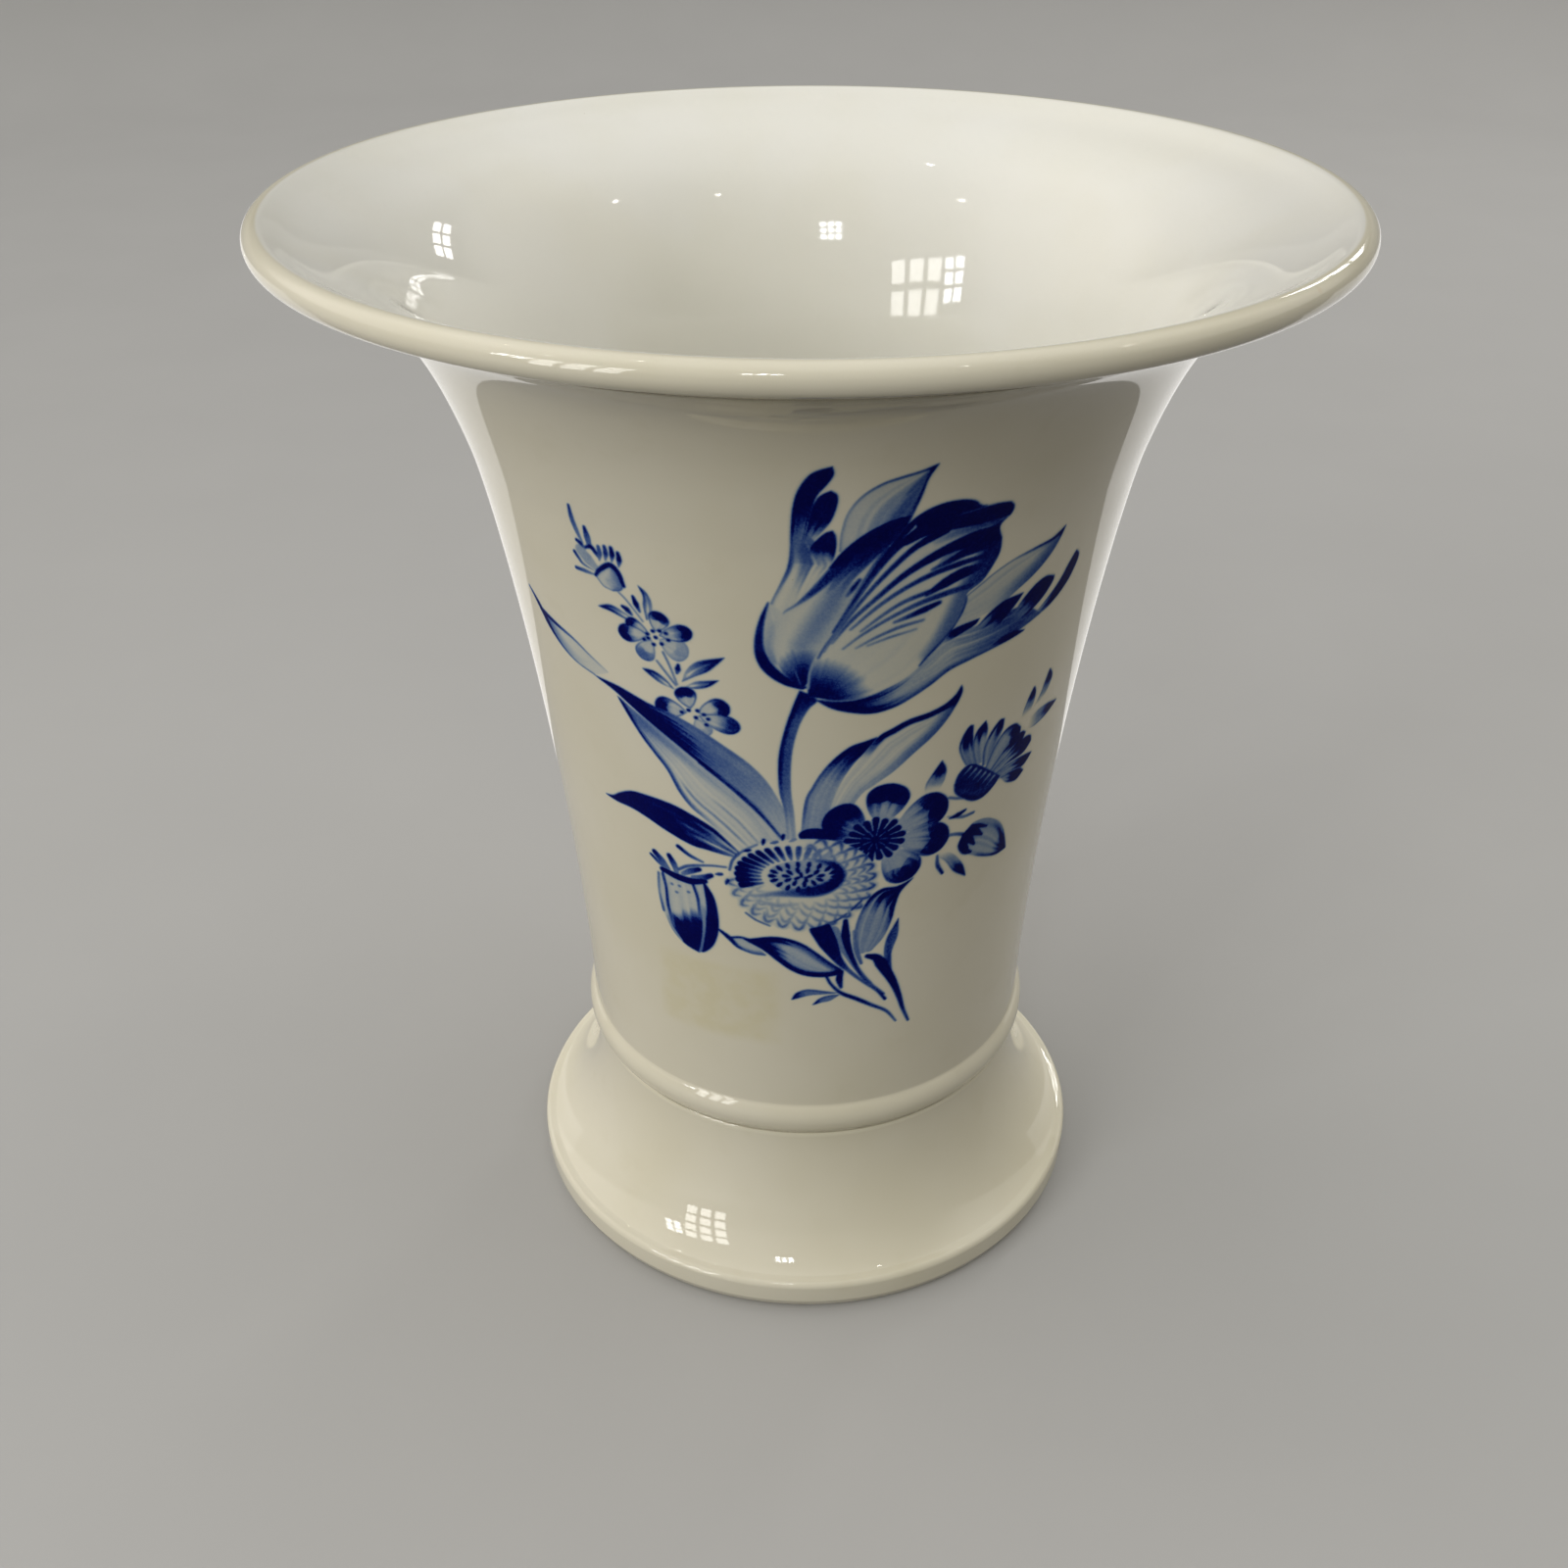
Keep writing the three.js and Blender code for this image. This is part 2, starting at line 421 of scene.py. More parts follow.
def slip():
    """Fired slip under a thin glaze, a little yellower and duller than the porcelain."""
    s = Shade("fired_luting_slip")
    colour = s.vary(3, (0.56, 0.52, 0.40, 1), (0.48, 0.43, 0.32, 1))
    s.link(colour, s.surface.inputs["Base Color"])
    s.link(s.ramp(s.noise(2, 3), 0.3, 0.7, 0.2, 0.38), s.surface.inputs["Roughness"])
    s.bump([(s.noise(1.6, 3), 0.02)])
    return s.material


GLAZED = glaze("glazed_porcelain")
COBALT = glaze("cobalt_underglaze", pigment=True)
BISCUIT = unglazed()
SLIP = slip()

turned("porcelain_body", body_profile(), False, GLAZED, ("trumpet_body",))
turned("porcelain_foot", foot_profile(), True, GLAZED, ("spreading_foot",))
turned("slip_line", slip_profile(), True, SLIP, ("luting_slip_ring",))
turned("biscuit_ring", biscuit_profile(), True, BISCUIT)


# ---------------------------------------------------------------- painter's canvas
CELL = 0.15                     # mm between canvas samples
LEFT, RIGHT = -50.0, 48.5       # mm round the body from the middle of the front
LOW, HIGH = 52.0, 161.5         # mm above the table
EDGE = 0.22                     # mm over which a brush mark's edge fades
CURVE_STEP = 0.4                # mm between samples of a curve
LABELLED = 0.3                  # cover from which a mark counts as part of its flower
VEIN_FADE = 0.12                # share of a petal's length over which a vein fades out

COLUMNS = np.arange(LEFT, RIGHT, CELL)
ROWS = np.arange(LOW, HIGH, CELL)
density = np.zeros((len(ROWS), len(COLUMNS)))
label = np.zeros(density.shape, dtype=int)
flower = 0                      # number of the flower being painted, which its marks are labelled with


def smooth(value):
    value = np.clip(value, 0.0, 1.0)
    return value * value * (3.0 - 2.0 * value)


def rise(value, start, reach):
    """0 up to start, 1 from start + reach on, and a smooth change between."""
    return smooth((value - start) / reach)


def fall(value, reach):
    """1 at 0, fading smoothly to 0 at reach."""
    return smooth(1 - value / reach)


def curve(points):
    """Dense samples of the smooth curve through a few points (Catmull-Rom)."""
    p = np.array(points, dtype=float)
    p = np.vstack([2 * p[0] - p[1], p, 2 * p[-1] - p[-2]])
    out = []
    for a, b, c, d in zip(p[:-3], p[1:-2], p[2:-1], p[3:]):
        steps = max(3, int(np.hypot(*(c - b)) / CURVE_STEP))
        t = np.linspace(0, 1, steps, endpoint=False)[:, None]
        out.append(0.5 * ((2 * b) + (c - a) * t + (2 * a - 5 * b + 4 * c - d) * t ** 2
                          + (3 * b - 3 * c + d - a) * t ** 3))
    out.append(p[-2:-1])
    return np.vstack(out)


def window(path, reach):
    """The part of the canvas within reach of a path, as slices and coordinate arrays."""
    low = path.min(axis=0) - reach
    high = path.max(axis=0) + reach
    columns = slice(max(0, int((low[0] - LEFT) / CELL)), max(0, int((high[0] - LEFT) / CELL) + 2))
    rows = slice(max(0, int((low[1] - LOW) / CELL)), max(0, int((high[1] - LOW) / CELL) + 2))
    u, v = np.meshgrid(COLUMNS[columns], ROWS[rows])
    return (rows, columns), u, v


def nearest(path, u, v):
    """Distance to a path, the signed side of it, and how far along it the nearest point lies."""
    along = np.gradient(path, axis=0)
    along /= np.hypot(along[:, 0], along[:, 1])[:, None] + 1e-12
    spots = np.stack([u.ravel(), v.ravel()], axis=1)
    middle = path.mean(axis=0)
    a = (spots - middle).astype(np.float32)
    b = (path - middle).astype(np.float32)
    index = np.argmin((b ** 2).sum(axis=1)[None, :] - 2 * a @ b.T, axis=1)
    offset = spots - path[index]
    side = along[index, 0] * offset[:, 1] - along[index, 1] * offset[:, 0]
    ahead = (along[index] * offset).sum(axis=1)
    length = np.concatenate([[0], np.cumsum(np.hypot(*np.diff(path, axis=0).T))])
    at_end = ((index == 0) & (ahead < 0)) | ((index == len(path) - 1) & (ahead > 0))
    distance = np.where(at_end, np.hypot(offset[:, 0], offset[:, 1]), np.abs(side))
    t = np.clip((length[index] + ahead) / length[-1], 0, 1)
    return distance.reshape(u.shape), side.reshape(u.shape), t.reshape(u.shape)


def inside(outline, u, v):
    """True where a closed outline goes round a place, by counting crossings."""
    odd = np.zeros(u.shape, dtype=bool)
    for (x0, y0), (x1, y1) in zip(outline, np.roll(outline, -1, axis=0)):
        if y0 == y1:
            continue
        crosses = (y0 > v) != (y1 > v)
        odd ^= crosses & (u < (x1 - x0) * (v - y0) / (y1 - y0) + x0)
    return odd


def streaks(across, count, seed, along=0.0, drift=0.0):
    """Smooth random bands, from 0 to 1, like the marks of a brush's hairs, that waver by drift."""
    values = np.random.default_rng(seed).random(count + 3)
    place = across * count + drift * np.sin(6.0 * along + seed)
    place = np.clip(place, 0, count + 1.99)
    low = np.floor(place).astype(int)
    return values[low] + smooth(place - low) * (values[low + 1] - values[low])


class Petal:
    """A leaf or petal between two edges that run from its base to its tip.

    across goes from 0 at the left edge to 1 at the right, along from 0 at the base to 1 at
    the tip, and left_gap, right_gap and gap are the distances in mm from the two edges and
    from the nearer one.
    """

    def __init__(self, left, right):
        left, right = curve(left), curve(right)
        outline = np.vstack([left, right[::-1]])
        self.place, self.u, self.v = window(outline, EDGE)
        u, v = self.u, self.v
        self.left_gap, _, left_along = nearest(left, u, v)
        self.right_gap, _, right_along = nearest(right, u, v)
        whole = self.left_gap + self.right_gap + 1e-9
        self.across = self.left_gap / whole
        self.along = left_along * (1 - self.across) + right_along * self.across
        gap = np.minimum(self.left_gap, self.right_gap)
        signed = np.where(inside(outline, u, v), gap, -gap)
        self.gap = np.maximum(signed, 0)
        self.mask = smooth(signed / EDGE + 0.5)

    def paint(self, tone):
        """Covers what lies under the petal with its own tone."""
        old = density[self.place]
        density[self.place] = old + self.mask * (np.clip(tone, 0, 1.0) - old)
        label[self.place][self.mask > LABELLED] = flower

    def fade_in(self, tone, start):
        """Covers what lies under it only gradually, from nothing at the base to fully at start."""
        old = density[self.place]
        cover = self.mask * smooth(self.along / start)
        density[self.place] = old + cover * (np.clip(tone, 0, 1.0) - old)
        label[self.place][(cover > LABELLED) & (label[self.place] == 0)] = flower

    def everywhere(self):
        """The petal's mask on the whole canvas."""
        whole = np.zeros(density.shape)
        whole[self.place] = self.mask
        return whole

    def left_edge(self, reach):
        """1 along the left edge, fading to 0 at reach mm from it."""
        return fall(self.left_gap, reach)

    def right_edge(self, reach):
        return fall(self.right_gap, reach)

    def hairs(self, count, seed, drift=0.0):
        """The marks of the brush's hairs along the petal, from 0 to 1."""
        return streaks(self.across, count, seed, self.along, drift)

    def vein(self, across, width, start, end):
        """A line that follows the petal's own run, width in mm, and fades out at both ends."""
        whole = self.left_gap + self.right_gap
        gap = np.abs(self.across - across) * whole
        fade = rise(self.along, start, VEIN_FADE) * smooth((end - self.along) / VEIN_FADE)
        return fall(gap, width) * fade


def line(points, widths, tone, soft=EDGE, clip=None, lift=False):
    """A brush stroke whose width in mm and tone change evenly from one given value to the next.

    It darkens what it crosses, or with lift it wipes it paler, and it stays inside the petal clip.
    """
    path = curve(points)
    widths = np.atleast_1d(np.array(widths, dtype=float))
    place, u, v = window(path, widths.max() / 2 + soft)
    distance, _, along = nearest(path, u, v)
    half = np.interp(along, np.linspace(0, 1, len(widths)), widths) / 2
    tones = np.atleast_1d(np.array(tone, dtype=float))
    shade = np.interp(along, np.linspace(0, 1, len(tones)), tones)
    mask = smooth((half - distance) / soft + 0.5)
    if clip is not None:
        mask = mask * clip.everywhere()[place]
    old = density[place]
    change = np.minimum(shade - old, 0) if lift else np.maximum(shade - old, 0)
    density[place] = old + mask * change
    label[place][(mask > LABELLED) & (label[place] == 0)] = flower


def round_petal(centre, angle, start, length, width):
    """A petal with a round end, pointed away from a flower's centre at an angle in degrees."""
    ahead = np.array([np.cos(np.radians(angle)), np.sin(np.radians(angle))])
    aside = np.array([-ahead[1], ahead[0]])
    base = np.array(centre) + ahead * start
    shape = [(0.0, 0.0), (0.2, 0.26), (0.45, 0.44), (0.7, 0.5), (0.88, 0.38), (0.97, 0.18), (1.0, 0.0)]
    left = [base + ahead * length * a + aside * width * b for a, b in shape]
    right = [base + ahead * length * a - aside * width * b for a, b in shape]
    return Petal(left, right)


def dab(u, v, length, width, angle, tone):
    """A single short press of the brush, pointed away from its heavy end."""
    reach = np.array([np.cos(np.radians(angle)), np.sin(np.radians(angle))]) * length / 2
    line([(u - reach[0], v - reach[1]), (u, v), (u + reach[0], v + reach[1])],
         [width * 0.35, width, width * 0.8], tone)


def dot(u, v, size, tone):
    line([(u - 0.05, v), (u + 0.05, v)], [size], tone)


# ---------------------------------------------------------------- the bouquet
# Each function paints one plant or part of one. An outline or a stroke is a few points of (u, v),
# a stroke's widths are in mm, and a tone runs from 0 for bare glaze to 1 for full cobalt.


def far_leaf():
    """The thin leaf that points up and out on the far left."""
    blade = Petal([(-34, 118.7), (-38, 119.4), (-41.5, 121.3), (-44, 123.8), (-45.5, 125.6)],
                  [(-34, 118.7), (-31, 120.3), (-34.5, 122.1), (-38, 123.8), (-42, 124.8),
                   (-45.5, 125.6)])
    blade.paint(0.05 + 0.45 * blade.left_edge(2.2) * blade.along ** 1.5)
    line([(-49, 128.7), (-47.3, 127.2), (-45.6, 125.4), (-43.6, 123), (-41, 120.9), (-38, 119.5),
          (-34, 118.7)], [0.3, 0.8, 1.0, 0.55, 0.35, 0.25, 0.25], [0.7, 1, 1, 0.8, 0.5, 0.35, 0.4])
    line([(-46, 125.7), (-42, 124.7), (-38, 123.7), (-34.5, 122), (-31, 120.2)],
         [0.8, 0.6, 0.4, 0.35, 0.2], [1, 0.85, 0.45, 0.25, 0.1])


def great_leaf():
    """The long leaf left of the tulip, in two halves along its midrib."""
    midrib = [(-2.4, 92), (-6.5, 99.6), (-9, 102.4), (-12, 105.1), (-16, 108.1), (-20, 111)]
    low = Petal([(-9, 91.5), (-14.6, 96.6), (-17.6, 99), (-19.6, 101.6), (-21.4, 105.2), (-23.6, 107.9),
                 (-25.6, 110.3), (-27.6, 113.2), (-29.6, 116.4)], midrib + [(-24.5, 113.7),
                 (-29.6, 116.4)])
    hairs = low.hairs(24, 11, 0.3)
    tone = 0.03 + 0.06 * hairs + 0.34 * rise(low.along, 0.55, 0.45) * (0.6 + 0.4 * hairs)
    tone += 0.75 * low.left_edge(1.0) * rise(low.along, 0.12, 0.4)
    tone += 0.20 * fall(np.abs(low.right_gap - 1.2), 1.4) * low.along
    tone += 0.22 * low.vein(0.22, 0.4, 0.02, 0.55) + 0.14 * low.vein(0.5, 0.35, 0.0, 0.4)
    low.paint(tone)
    high = Petal(midrib + [(-25, 114.2), (-30, 117.2), (-34, 118.6)],
                 [(-1.2, 92), (-2.8, 99.5), (-4.1, 103), (-5.9, 106.4), (-8.5, 109.4), (-12, 112),
                  (-16, 114.5), (-20, 116.2), (-24, 117), (-29, 118.3), (-34, 118.6)])
    hairs = high.hairs(22, 4, 0.3)
    dark = rise(high.along + 0.16 * (hairs - 0.5) - 0.36 * high.across, 0.36, 0.22)
    tone = 0.06 + 0.07 * hairs + 0.36 * rise(high.along, 0.06, 0.5) + 0.62 * dark
    tone += 0.30 * high.left_edge(0.8) * smooth(high.along / 0.4)
    tone += 0.30 * rise(high.along, 0.7, 0.2) - 0.10 * high.vein(0.75, 1.2, 0.3, 0.7)
    high.paint(tone)
    line([(-3.4, 95.2)] + midrib[1:5], [0.35, 0.55, 0.7, 0.5, 0.3], [0.7, 0.8, 0.8, 0.85, 0.9])


def dark_leaf():
    """The dark leaf below it."""
    leaf = Petal([(-9, 90.4), (-15, 91.2), (-18, 91.5), (-22.5, 93), (-26, 94.3), (-29, 94.9),
                  (-32, 94.8), (-34.9, 95)],
                 [(-9, 90.8), (-12.8, 94.6), (-14.5, 96), (-17.5, 97.5), (-21, 98.6), (-25, 98.8),
                  (-28.5, 98.4), (-31, 97.1), (-33, 95.6), (-34.9, 95)])
    hairs = leaf.hairs(9, 21, 0.5)
    tone = 0.10 + 0.95 * rise(leaf.along + 0.3 * hairs, 0.14, 0.38)
    tone -= 0.5 * leaf.vein(0.55, 0.8, 0.08, 0.5) + 0.3 * leaf.vein(0.3, 0.6, 0.1, 0.45)
    tone -= 0.25 * leaf.vein(0.72, 0.5, 0.3, 0.7)
    leaf.paint(tone)


def right_leaf():
    """The leaf right of the tulip, with its folded edge."""
    blade = Petal([(0.6, 92), (4.5, 104), (7.5, 109.5), (10.3, 113.8), (12.5, 115.2), (15, 116.4),
                   (18, 117), (20.5, 117.9), (22.2, 119.2), (23.1, 120.7)],
                  [(3, 94), (7.7, 102.8), (10, 105), (13, 107.2), (16, 110), (19, 112.6), (21.2, 115.2),
                   (22.7, 117.8), (23.3, 119.5), (23.1, 120.7)])
    hairs = blade.hairs(24, 31)
    tone = 0.03 + 0.07 * hairs
    tone += (0.12 + 0.42 * rise(blade.along, 0.35, 0.5)) * blade.right_edge(2.4)
    tone += 0.95 * smooth((0.95 - blade.left_gap) / 0.4 + 0.5) * rise(blade.along, 0.5, 0.14)
    tone += 0.9 * rise(blade.along, 0.86, 0.1)
    blade.paint(tone)
    fold = Petal([(-1, 92), (-0.2, 102), (1, 105.5), (2.6, 108.6), (4.5, 111), (6.5, 112.7), (8.5, 113.4),
                  (10.3, 114)], [(2, 92), (3.6, 101), (4.9, 105.4), (6.6, 109), (8.6, 111.6),
                  (10.3, 114)])
    hairs = fold.hairs(8, 33)
    tone = 0.15 + 0.10 * hairs + 0.85 * rise(fold.along + 0.12 * hairs, 0.62, 0.34)
    tone += 0.5 * fold.left_edge(0.7) * rise(fold.along, 0.1, 0.3)
    fold.paint(tone)


def tulip_stem():
    stem = Petal([(-2.6, 92), (-3.1, 100), (-3.9, 105), (-3.9, 111), (-3, 116), (-1.9, 120), (-0.9, 123)],
                 [(-1.2, 92), (-1.7, 100), (-2.2, 105), (-2.1, 111), (-1.2, 116), (0.2, 119.5),
                  (1.5, 121.4), (-0.9, 123)])
    hairs = stem.hairs(5, 41)
    tone = 0.08 + 0.12 * hairs + 0.42 * rise(stem.along, 0.1, 0.5) + 0.4 * rise(stem.along, 0.78, 0.2)
    tone += 0.42 * stem.left_edge(1.1) * rise(stem.along, 0.15, 0.4)
    stem.paint(tone)


def tulip():
    # pale petal at the back
    back = Petal([(4.2, 146), (4.4, 149), (5.2, 152.3), (7, 155), (9.5, 156.8), (12, 157.7),
                  (14.5, 158.4), (16.7, 159.3)],
                 [(12, 146), (13, 149), (13.9, 151.7), (14.8, 154.4), (15.5, 157), (16.7, 159.3)])
    hairs = back.hairs(14, 51)
    tone = 0.05 + 0.10 * hairs + 0.45 * smooth((back.across - 0.45 + 0.2 * hairs) / 0.6)
    tone += 0.65 * back.left_edge(0.55) * rise(back.along, 0.3, 0.6) + 0.15 * back.left_edge(0.5)
    tone += 0.5 * back.right_edge(0.6) * rise(back.along, 0.2, 0.5)
    tone += 0.8 * rise(back.along, 0.88, 0.1) + 0.3 * back.vein(0.6, 0.4, 0.6, 1.0)
    back.paint(tone)

    # left petal: its white flank, then three dark lobes that come down it
    flank = Petal([(-5.6, 133), (-5.3, 136), (-4.6, 138.2), (-3.6, 140.6), (-2.5, 143.6), (-2.1, 147),
                   (-2, 150)], [(0, 133), (0.5, 138), (1.8, 141.8), (2.9, 144), (1.5, 147), (0, 149),
                   (-2, 150)])
    hairs = flank.hairs(12, 55)
    tone = 0.02 + 0.05 * hairs + 0.5 * rise(flank.along + 0.35 * hairs, 0.62, 0.4)
    tone += 0.3 * flank.left_edge(0.5)
    flank.paint(tone)
    for left, right, seed in (
            ([(0.2, 144.5), (0.6, 147), (2.2, 149), (3.3, 149.5)],
             [(2.9, 143.4), (3.5, 145), (3.8, 147), (3.7, 148.6), (3.3, 149.5)], 57),
            ([(-1, 146), (0, 150), (0.6, 153), (1.5, 155), (3, 156)],
             [(0.3, 147), (1.9, 149.3), (3.1, 151.2), (3.8, 153.6), (3.8, 155.2), (3, 156)], 58),
            ([(-2.3, 143.5), (-2.1, 149), (-1.8, 153.3), (-1, 156.4), (0.6, 158.8), (3.1, 159.9)],
             [(-1.2, 145), (-0.3, 149), (0.4, 152.3), (1.2, 155.1), (2.5, 157), (3.3, 158.6),
             (3.1, 159.9)], 59)):
        lobe = Petal(left, right)
        hairs = lobe.hairs(7, seed)
        lobe.fade_in(0.3 + 0.75 * rise(lobe.along + 0.3 * hairs, 0.2, 0.45), 0.35)

    # outer left petal: a dark band round the side
    cup = Petal([(-0.8, 123.2), (-3, 123.9), (-5, 125.2), (-6.4, 126.9), (-7.1, 129.2), (-7, 132),
                 (-6.3, 135), (-5.2, 137.8)],
                [(2, 123.5), (1.5, 128), (-1, 133), (-3, 136), (-5.2, 137.8)])
    cup.paint(0.04 + 0.05 * cup.hairs(16, 61))
    line([(-5.2, 137.8), (-6.2, 135), (-6.7, 132), (-6.6, 129.4), (-5.7, 127.2), (-4.2, 125.5),
          (-2.2, 124.1), (-0.6, 123.4)], [0.3, 1.0, 1.4, 1.7, 1.9, 1.8, 1.5, 1.2],
         [0.9, 0.95, 0.9, 0.9, 1, 1, 1, 1], soft=0.4, clip=cup)
    line([(-4.6, 134), (-5.2, 130.6), (-4.6, 127.8)], [0.8], [0.14, 0.2, 0.3], soft=1.4, clip=cup)

    # bottom petal that runs out to the right
    under = Petal([(1.2, 121.4), (3.5, 119.8), (6.5, 118.8), (9.5, 118.4), (12.5, 119), (15, 120.2),
                   (18, 122), (20.8, 123.9), (24, 124.9), (28, 125.8), (31, 126.4), (33.8, 127.1)],
                  [(1.2, 121.4), (4, 121.3), (7, 121.4), (10, 122.1), (13, 123.8), (16, 126.5), (19, 129),
                   (22, 129.8), (25, 128.8), (29, 127.8), (33.8, 127.1)])
    hairs = under.hairs(16, 65)
    tone = 0.14 + 0.08 * hairs + 0.9 * smooth((0.36 - under.along + 0.1 * hairs) / 0.25)
    tone += 0.55 * under.left_edge(1.2) + 0.4 * rise(under.along, 0.8, 0.12)
    under.paint(tone)

    # right-hand pale petal
    pale = Petal([(20, 131), (24, 132), (28, 133), (31, 134.8), (34, 136.6), (36.5, 138.6), (38.3, 140.8),
                  (39.5, 143.4)], [(22, 136), (24.5, 137.7), (27, 139.3), (30, 140.6), (33.5, 141.4),
                  (36.5, 141.9), (38, 142.5), (39.5, 143.4)])
    hairs = pale.hairs(12, 67)
    tone = 0.05 + 0.08 * hairs + 0.5 * pale.left_edge(3) * rise(pale.along, 0.2, 0.5)
    tone += 0.9 * pale.right_edge(0.7) * rise(pale.along, 0.45, 0.4) + 0.25 * pale.right_edge(0.4)
    tone += 0.8 * rise(pale.along, 0.9, 0.08)
    pale.paint(tone)

    # the dark-tipped petal under it: body, then four lobes
    body = Petal([(13, 121.5), (18, 123.5), (22, 125.5), (28, 126.3), (33, 127.6), (37, 129)],
                 [(16.6, 127), (18, 129), (20.5, 130.5), (24, 130.6), (29, 131.5), (33, 131.5),
                  (37, 129)])
    hairs = body.hairs(18, 69)
    body.fade_in(0.08 + 0.1 * hairs + 0.5 * rise(body.along + 0.2 * hairs, 0.4, 0.5), 0.2)
    for left, right, seed in (
            ([(26, 125.6), (29, 126.1), (31.5, 126.5), (33.9, 127.1)],
             [(26, 126.2), (29, 127.2), (31.5, 127.6), (33.9, 127.1)], 70),
            ([(32, 127.9), (37, 129), (40, 130.5), (42.5, 132.6), (44, 135), (44.3, 136.6),
             (43.4, 137.6)], [(33, 129), (35.7, 129.6), (38.5, 131.6), (40.5, 133.6), (42, 135.8),
             (43.4, 137.6)], 71),
            ([(29.5, 128.6), (33, 129.6), (35.3, 130.7), (37.2, 132.2), (38.6, 134), (38.8, 134.9)],
             [(29.5, 129.5), (31.2, 131.2), (33, 133.2), (35, 134.8), (37, 135.4), (38.8, 134.9)], 72),
            ([(25, 128.4), (27, 129.1), (28.6, 129.9), (30, 131.1), (31.6, 132.8), (32.6, 134.1)],
             [(22.5, 128.6), (24.7, 130.5), (27, 132.6), (29.3, 133.8), (32.6, 134.1)], 73),
            ([(18.6, 128.6), (20.5, 129.3), (22.7, 130.2), (24.4, 131), (25.1, 131.9)],
             [(17.6, 128.4), (19, 130), (21, 131.1), (23, 131.6), (25.1, 131.9)], 74)):
        lobe = Petal(left, right)
        hairs = lobe.hairs(6, seed)
        lobe.fade_in(0.32 + 0.75 * rise(lobe.along + 0.3 * hairs, 0.3, 0.35), 0.45)

    # inner left petal, dark along its upper edge
    inner = Petal([(-0.4, 123.4), (-3.2, 126), (-4.4, 130), (-3.8, 133.6), (-3.1, 136.2), (-1.5, 137.6),
                   (0, 139.4), (1.5, 141.6), (3, 143.6), (4.5, 145.8), (6.5, 147.9), (8.5, 149.4),
                   (11, 150.7), (13.6, 151.3)],
                  [(-0.4, 123.4), (2, 127.5), (5, 132), (8, 138), (11, 144.5), (13.6, 151.3)])
    inner.paint(0.04 + 0.04 * inner.hairs(12, 77))
    line([(-0.6, 130.5), (1, 133.2), (2.8, 136.6), (4.6, 140.4)], [2.4, 3, 3, 2],
         [0.26, 0.26, 0.3, 0.34], soft=3, clip=inner)
    for points, widths, tones in (
            ([(3.3, 143.9), (5.2, 145.9), (7.6, 147.7), (10.4, 149.4), (13.4, 150.9)],
             [1.2, 2.4, 3.4, 3.2, 1.6], [1]),
            ([(12.6, 149.4), (10.2, 147), (7.6, 144), (5.2, 140.8), (3.8, 137.4)],
             [1.6, 1.5, 1.2, 0.8, 0.4], [1, 0.9, 0.7, 0.45, 0.2]),
            ([(10.6, 146.2), (8.8, 143), (7, 139.6), (5, 135.6)], [0.7, 0.7, 0.5, 0.4],
             [0.75, 0.6, 0.45, 0.3]),
            ([(9, 147), (6.8, 144.8), (4.6, 142.2), (2.8, 139.4)], [1.8, 1.8, 1.3, 0.5],
             [0.95, 0.85, 0.6, 0.25]),
            ([(5.2, 145), (3.4, 142.6), (1.6, 140.4), (-0.4, 138.4), (-2.6, 136.6), (-3.2, 136.1)],
             [1.6, 1.6, 1.3, 0.9, 0.5, 0.3], [1, 0.8, 0.72, 0.7, 0.45, 0.3]),
            ([(7, 141.3), (6.2, 140), (5.4, 138.8)], [0.4, 0.6, 0.3], [0.9, 0.9, 0.5])):
        line(points, widths, tones, soft=0.5, clip=inner)
    heart((-0.4, 123.6), (4.0, 6.4), 0.2, inner, 81)
    line([(-0.8, 124), (-1.6, 126.4), (-2.6, 128.6)], [0.3], [0.55], lift=True)

    # great right petal, whose veins fan out from the base into a dark rim
    great = Petal([(0.2, 122), (5, 121.1), (9, 121.6), (13, 123.3), (15.6, 125.2), (17.4, 127.2),
                   (20, 130), (22, 133.3), (22.7, 135.6), (22.6, 136.8), (24.8, 138.3), (26.2, 140.3),
                   (27.2, 142.4), (27.3, 144.6), (26.7, 147), (28.2, 148.6), (28.6, 149.9), (28, 150.8)],
                  [(0.2, 122), (0.6, 127), (2.6, 131.5), (5.6, 137.2), (8.6, 142.6), (11, 146.6),
                   (13.4, 150), (15.5, 151.7), (18, 152.6), (20.5, 152.7), (22.4, 152.2), (23.5, 151.2),
                   (25.5, 151.1), (28, 150.8)])
    great.paint(0.03 + 0.03 * great.hairs(18, 83))
    line([(26.8, 146.6), (27, 144), (26.2, 141.6), (24.8, 139.8), (23, 138.2)], [3.2, 5.0, 5.4, 4.4, 2.4],
         [0.95, 0.88, 0.8, 0.72, 0.64], soft=2.2, clip=great)
    line([(28, 149.4), (24.4, 148.4), (20.6, 147.5), (17.4, 146.2)], [1.8, 2.2, 1.6, 0.6],
         [0.85, 0.7, 0.45, 0.2], soft=1.2, clip=great)
    line([(22.2, 136.8), (21.6, 134), (20.4, 131.6), (18.6, 129.2), (17, 127.4)], [2.6, 3.4, 3, 1.8, 0.8],
         [0.42], soft=2.4, clip=great)
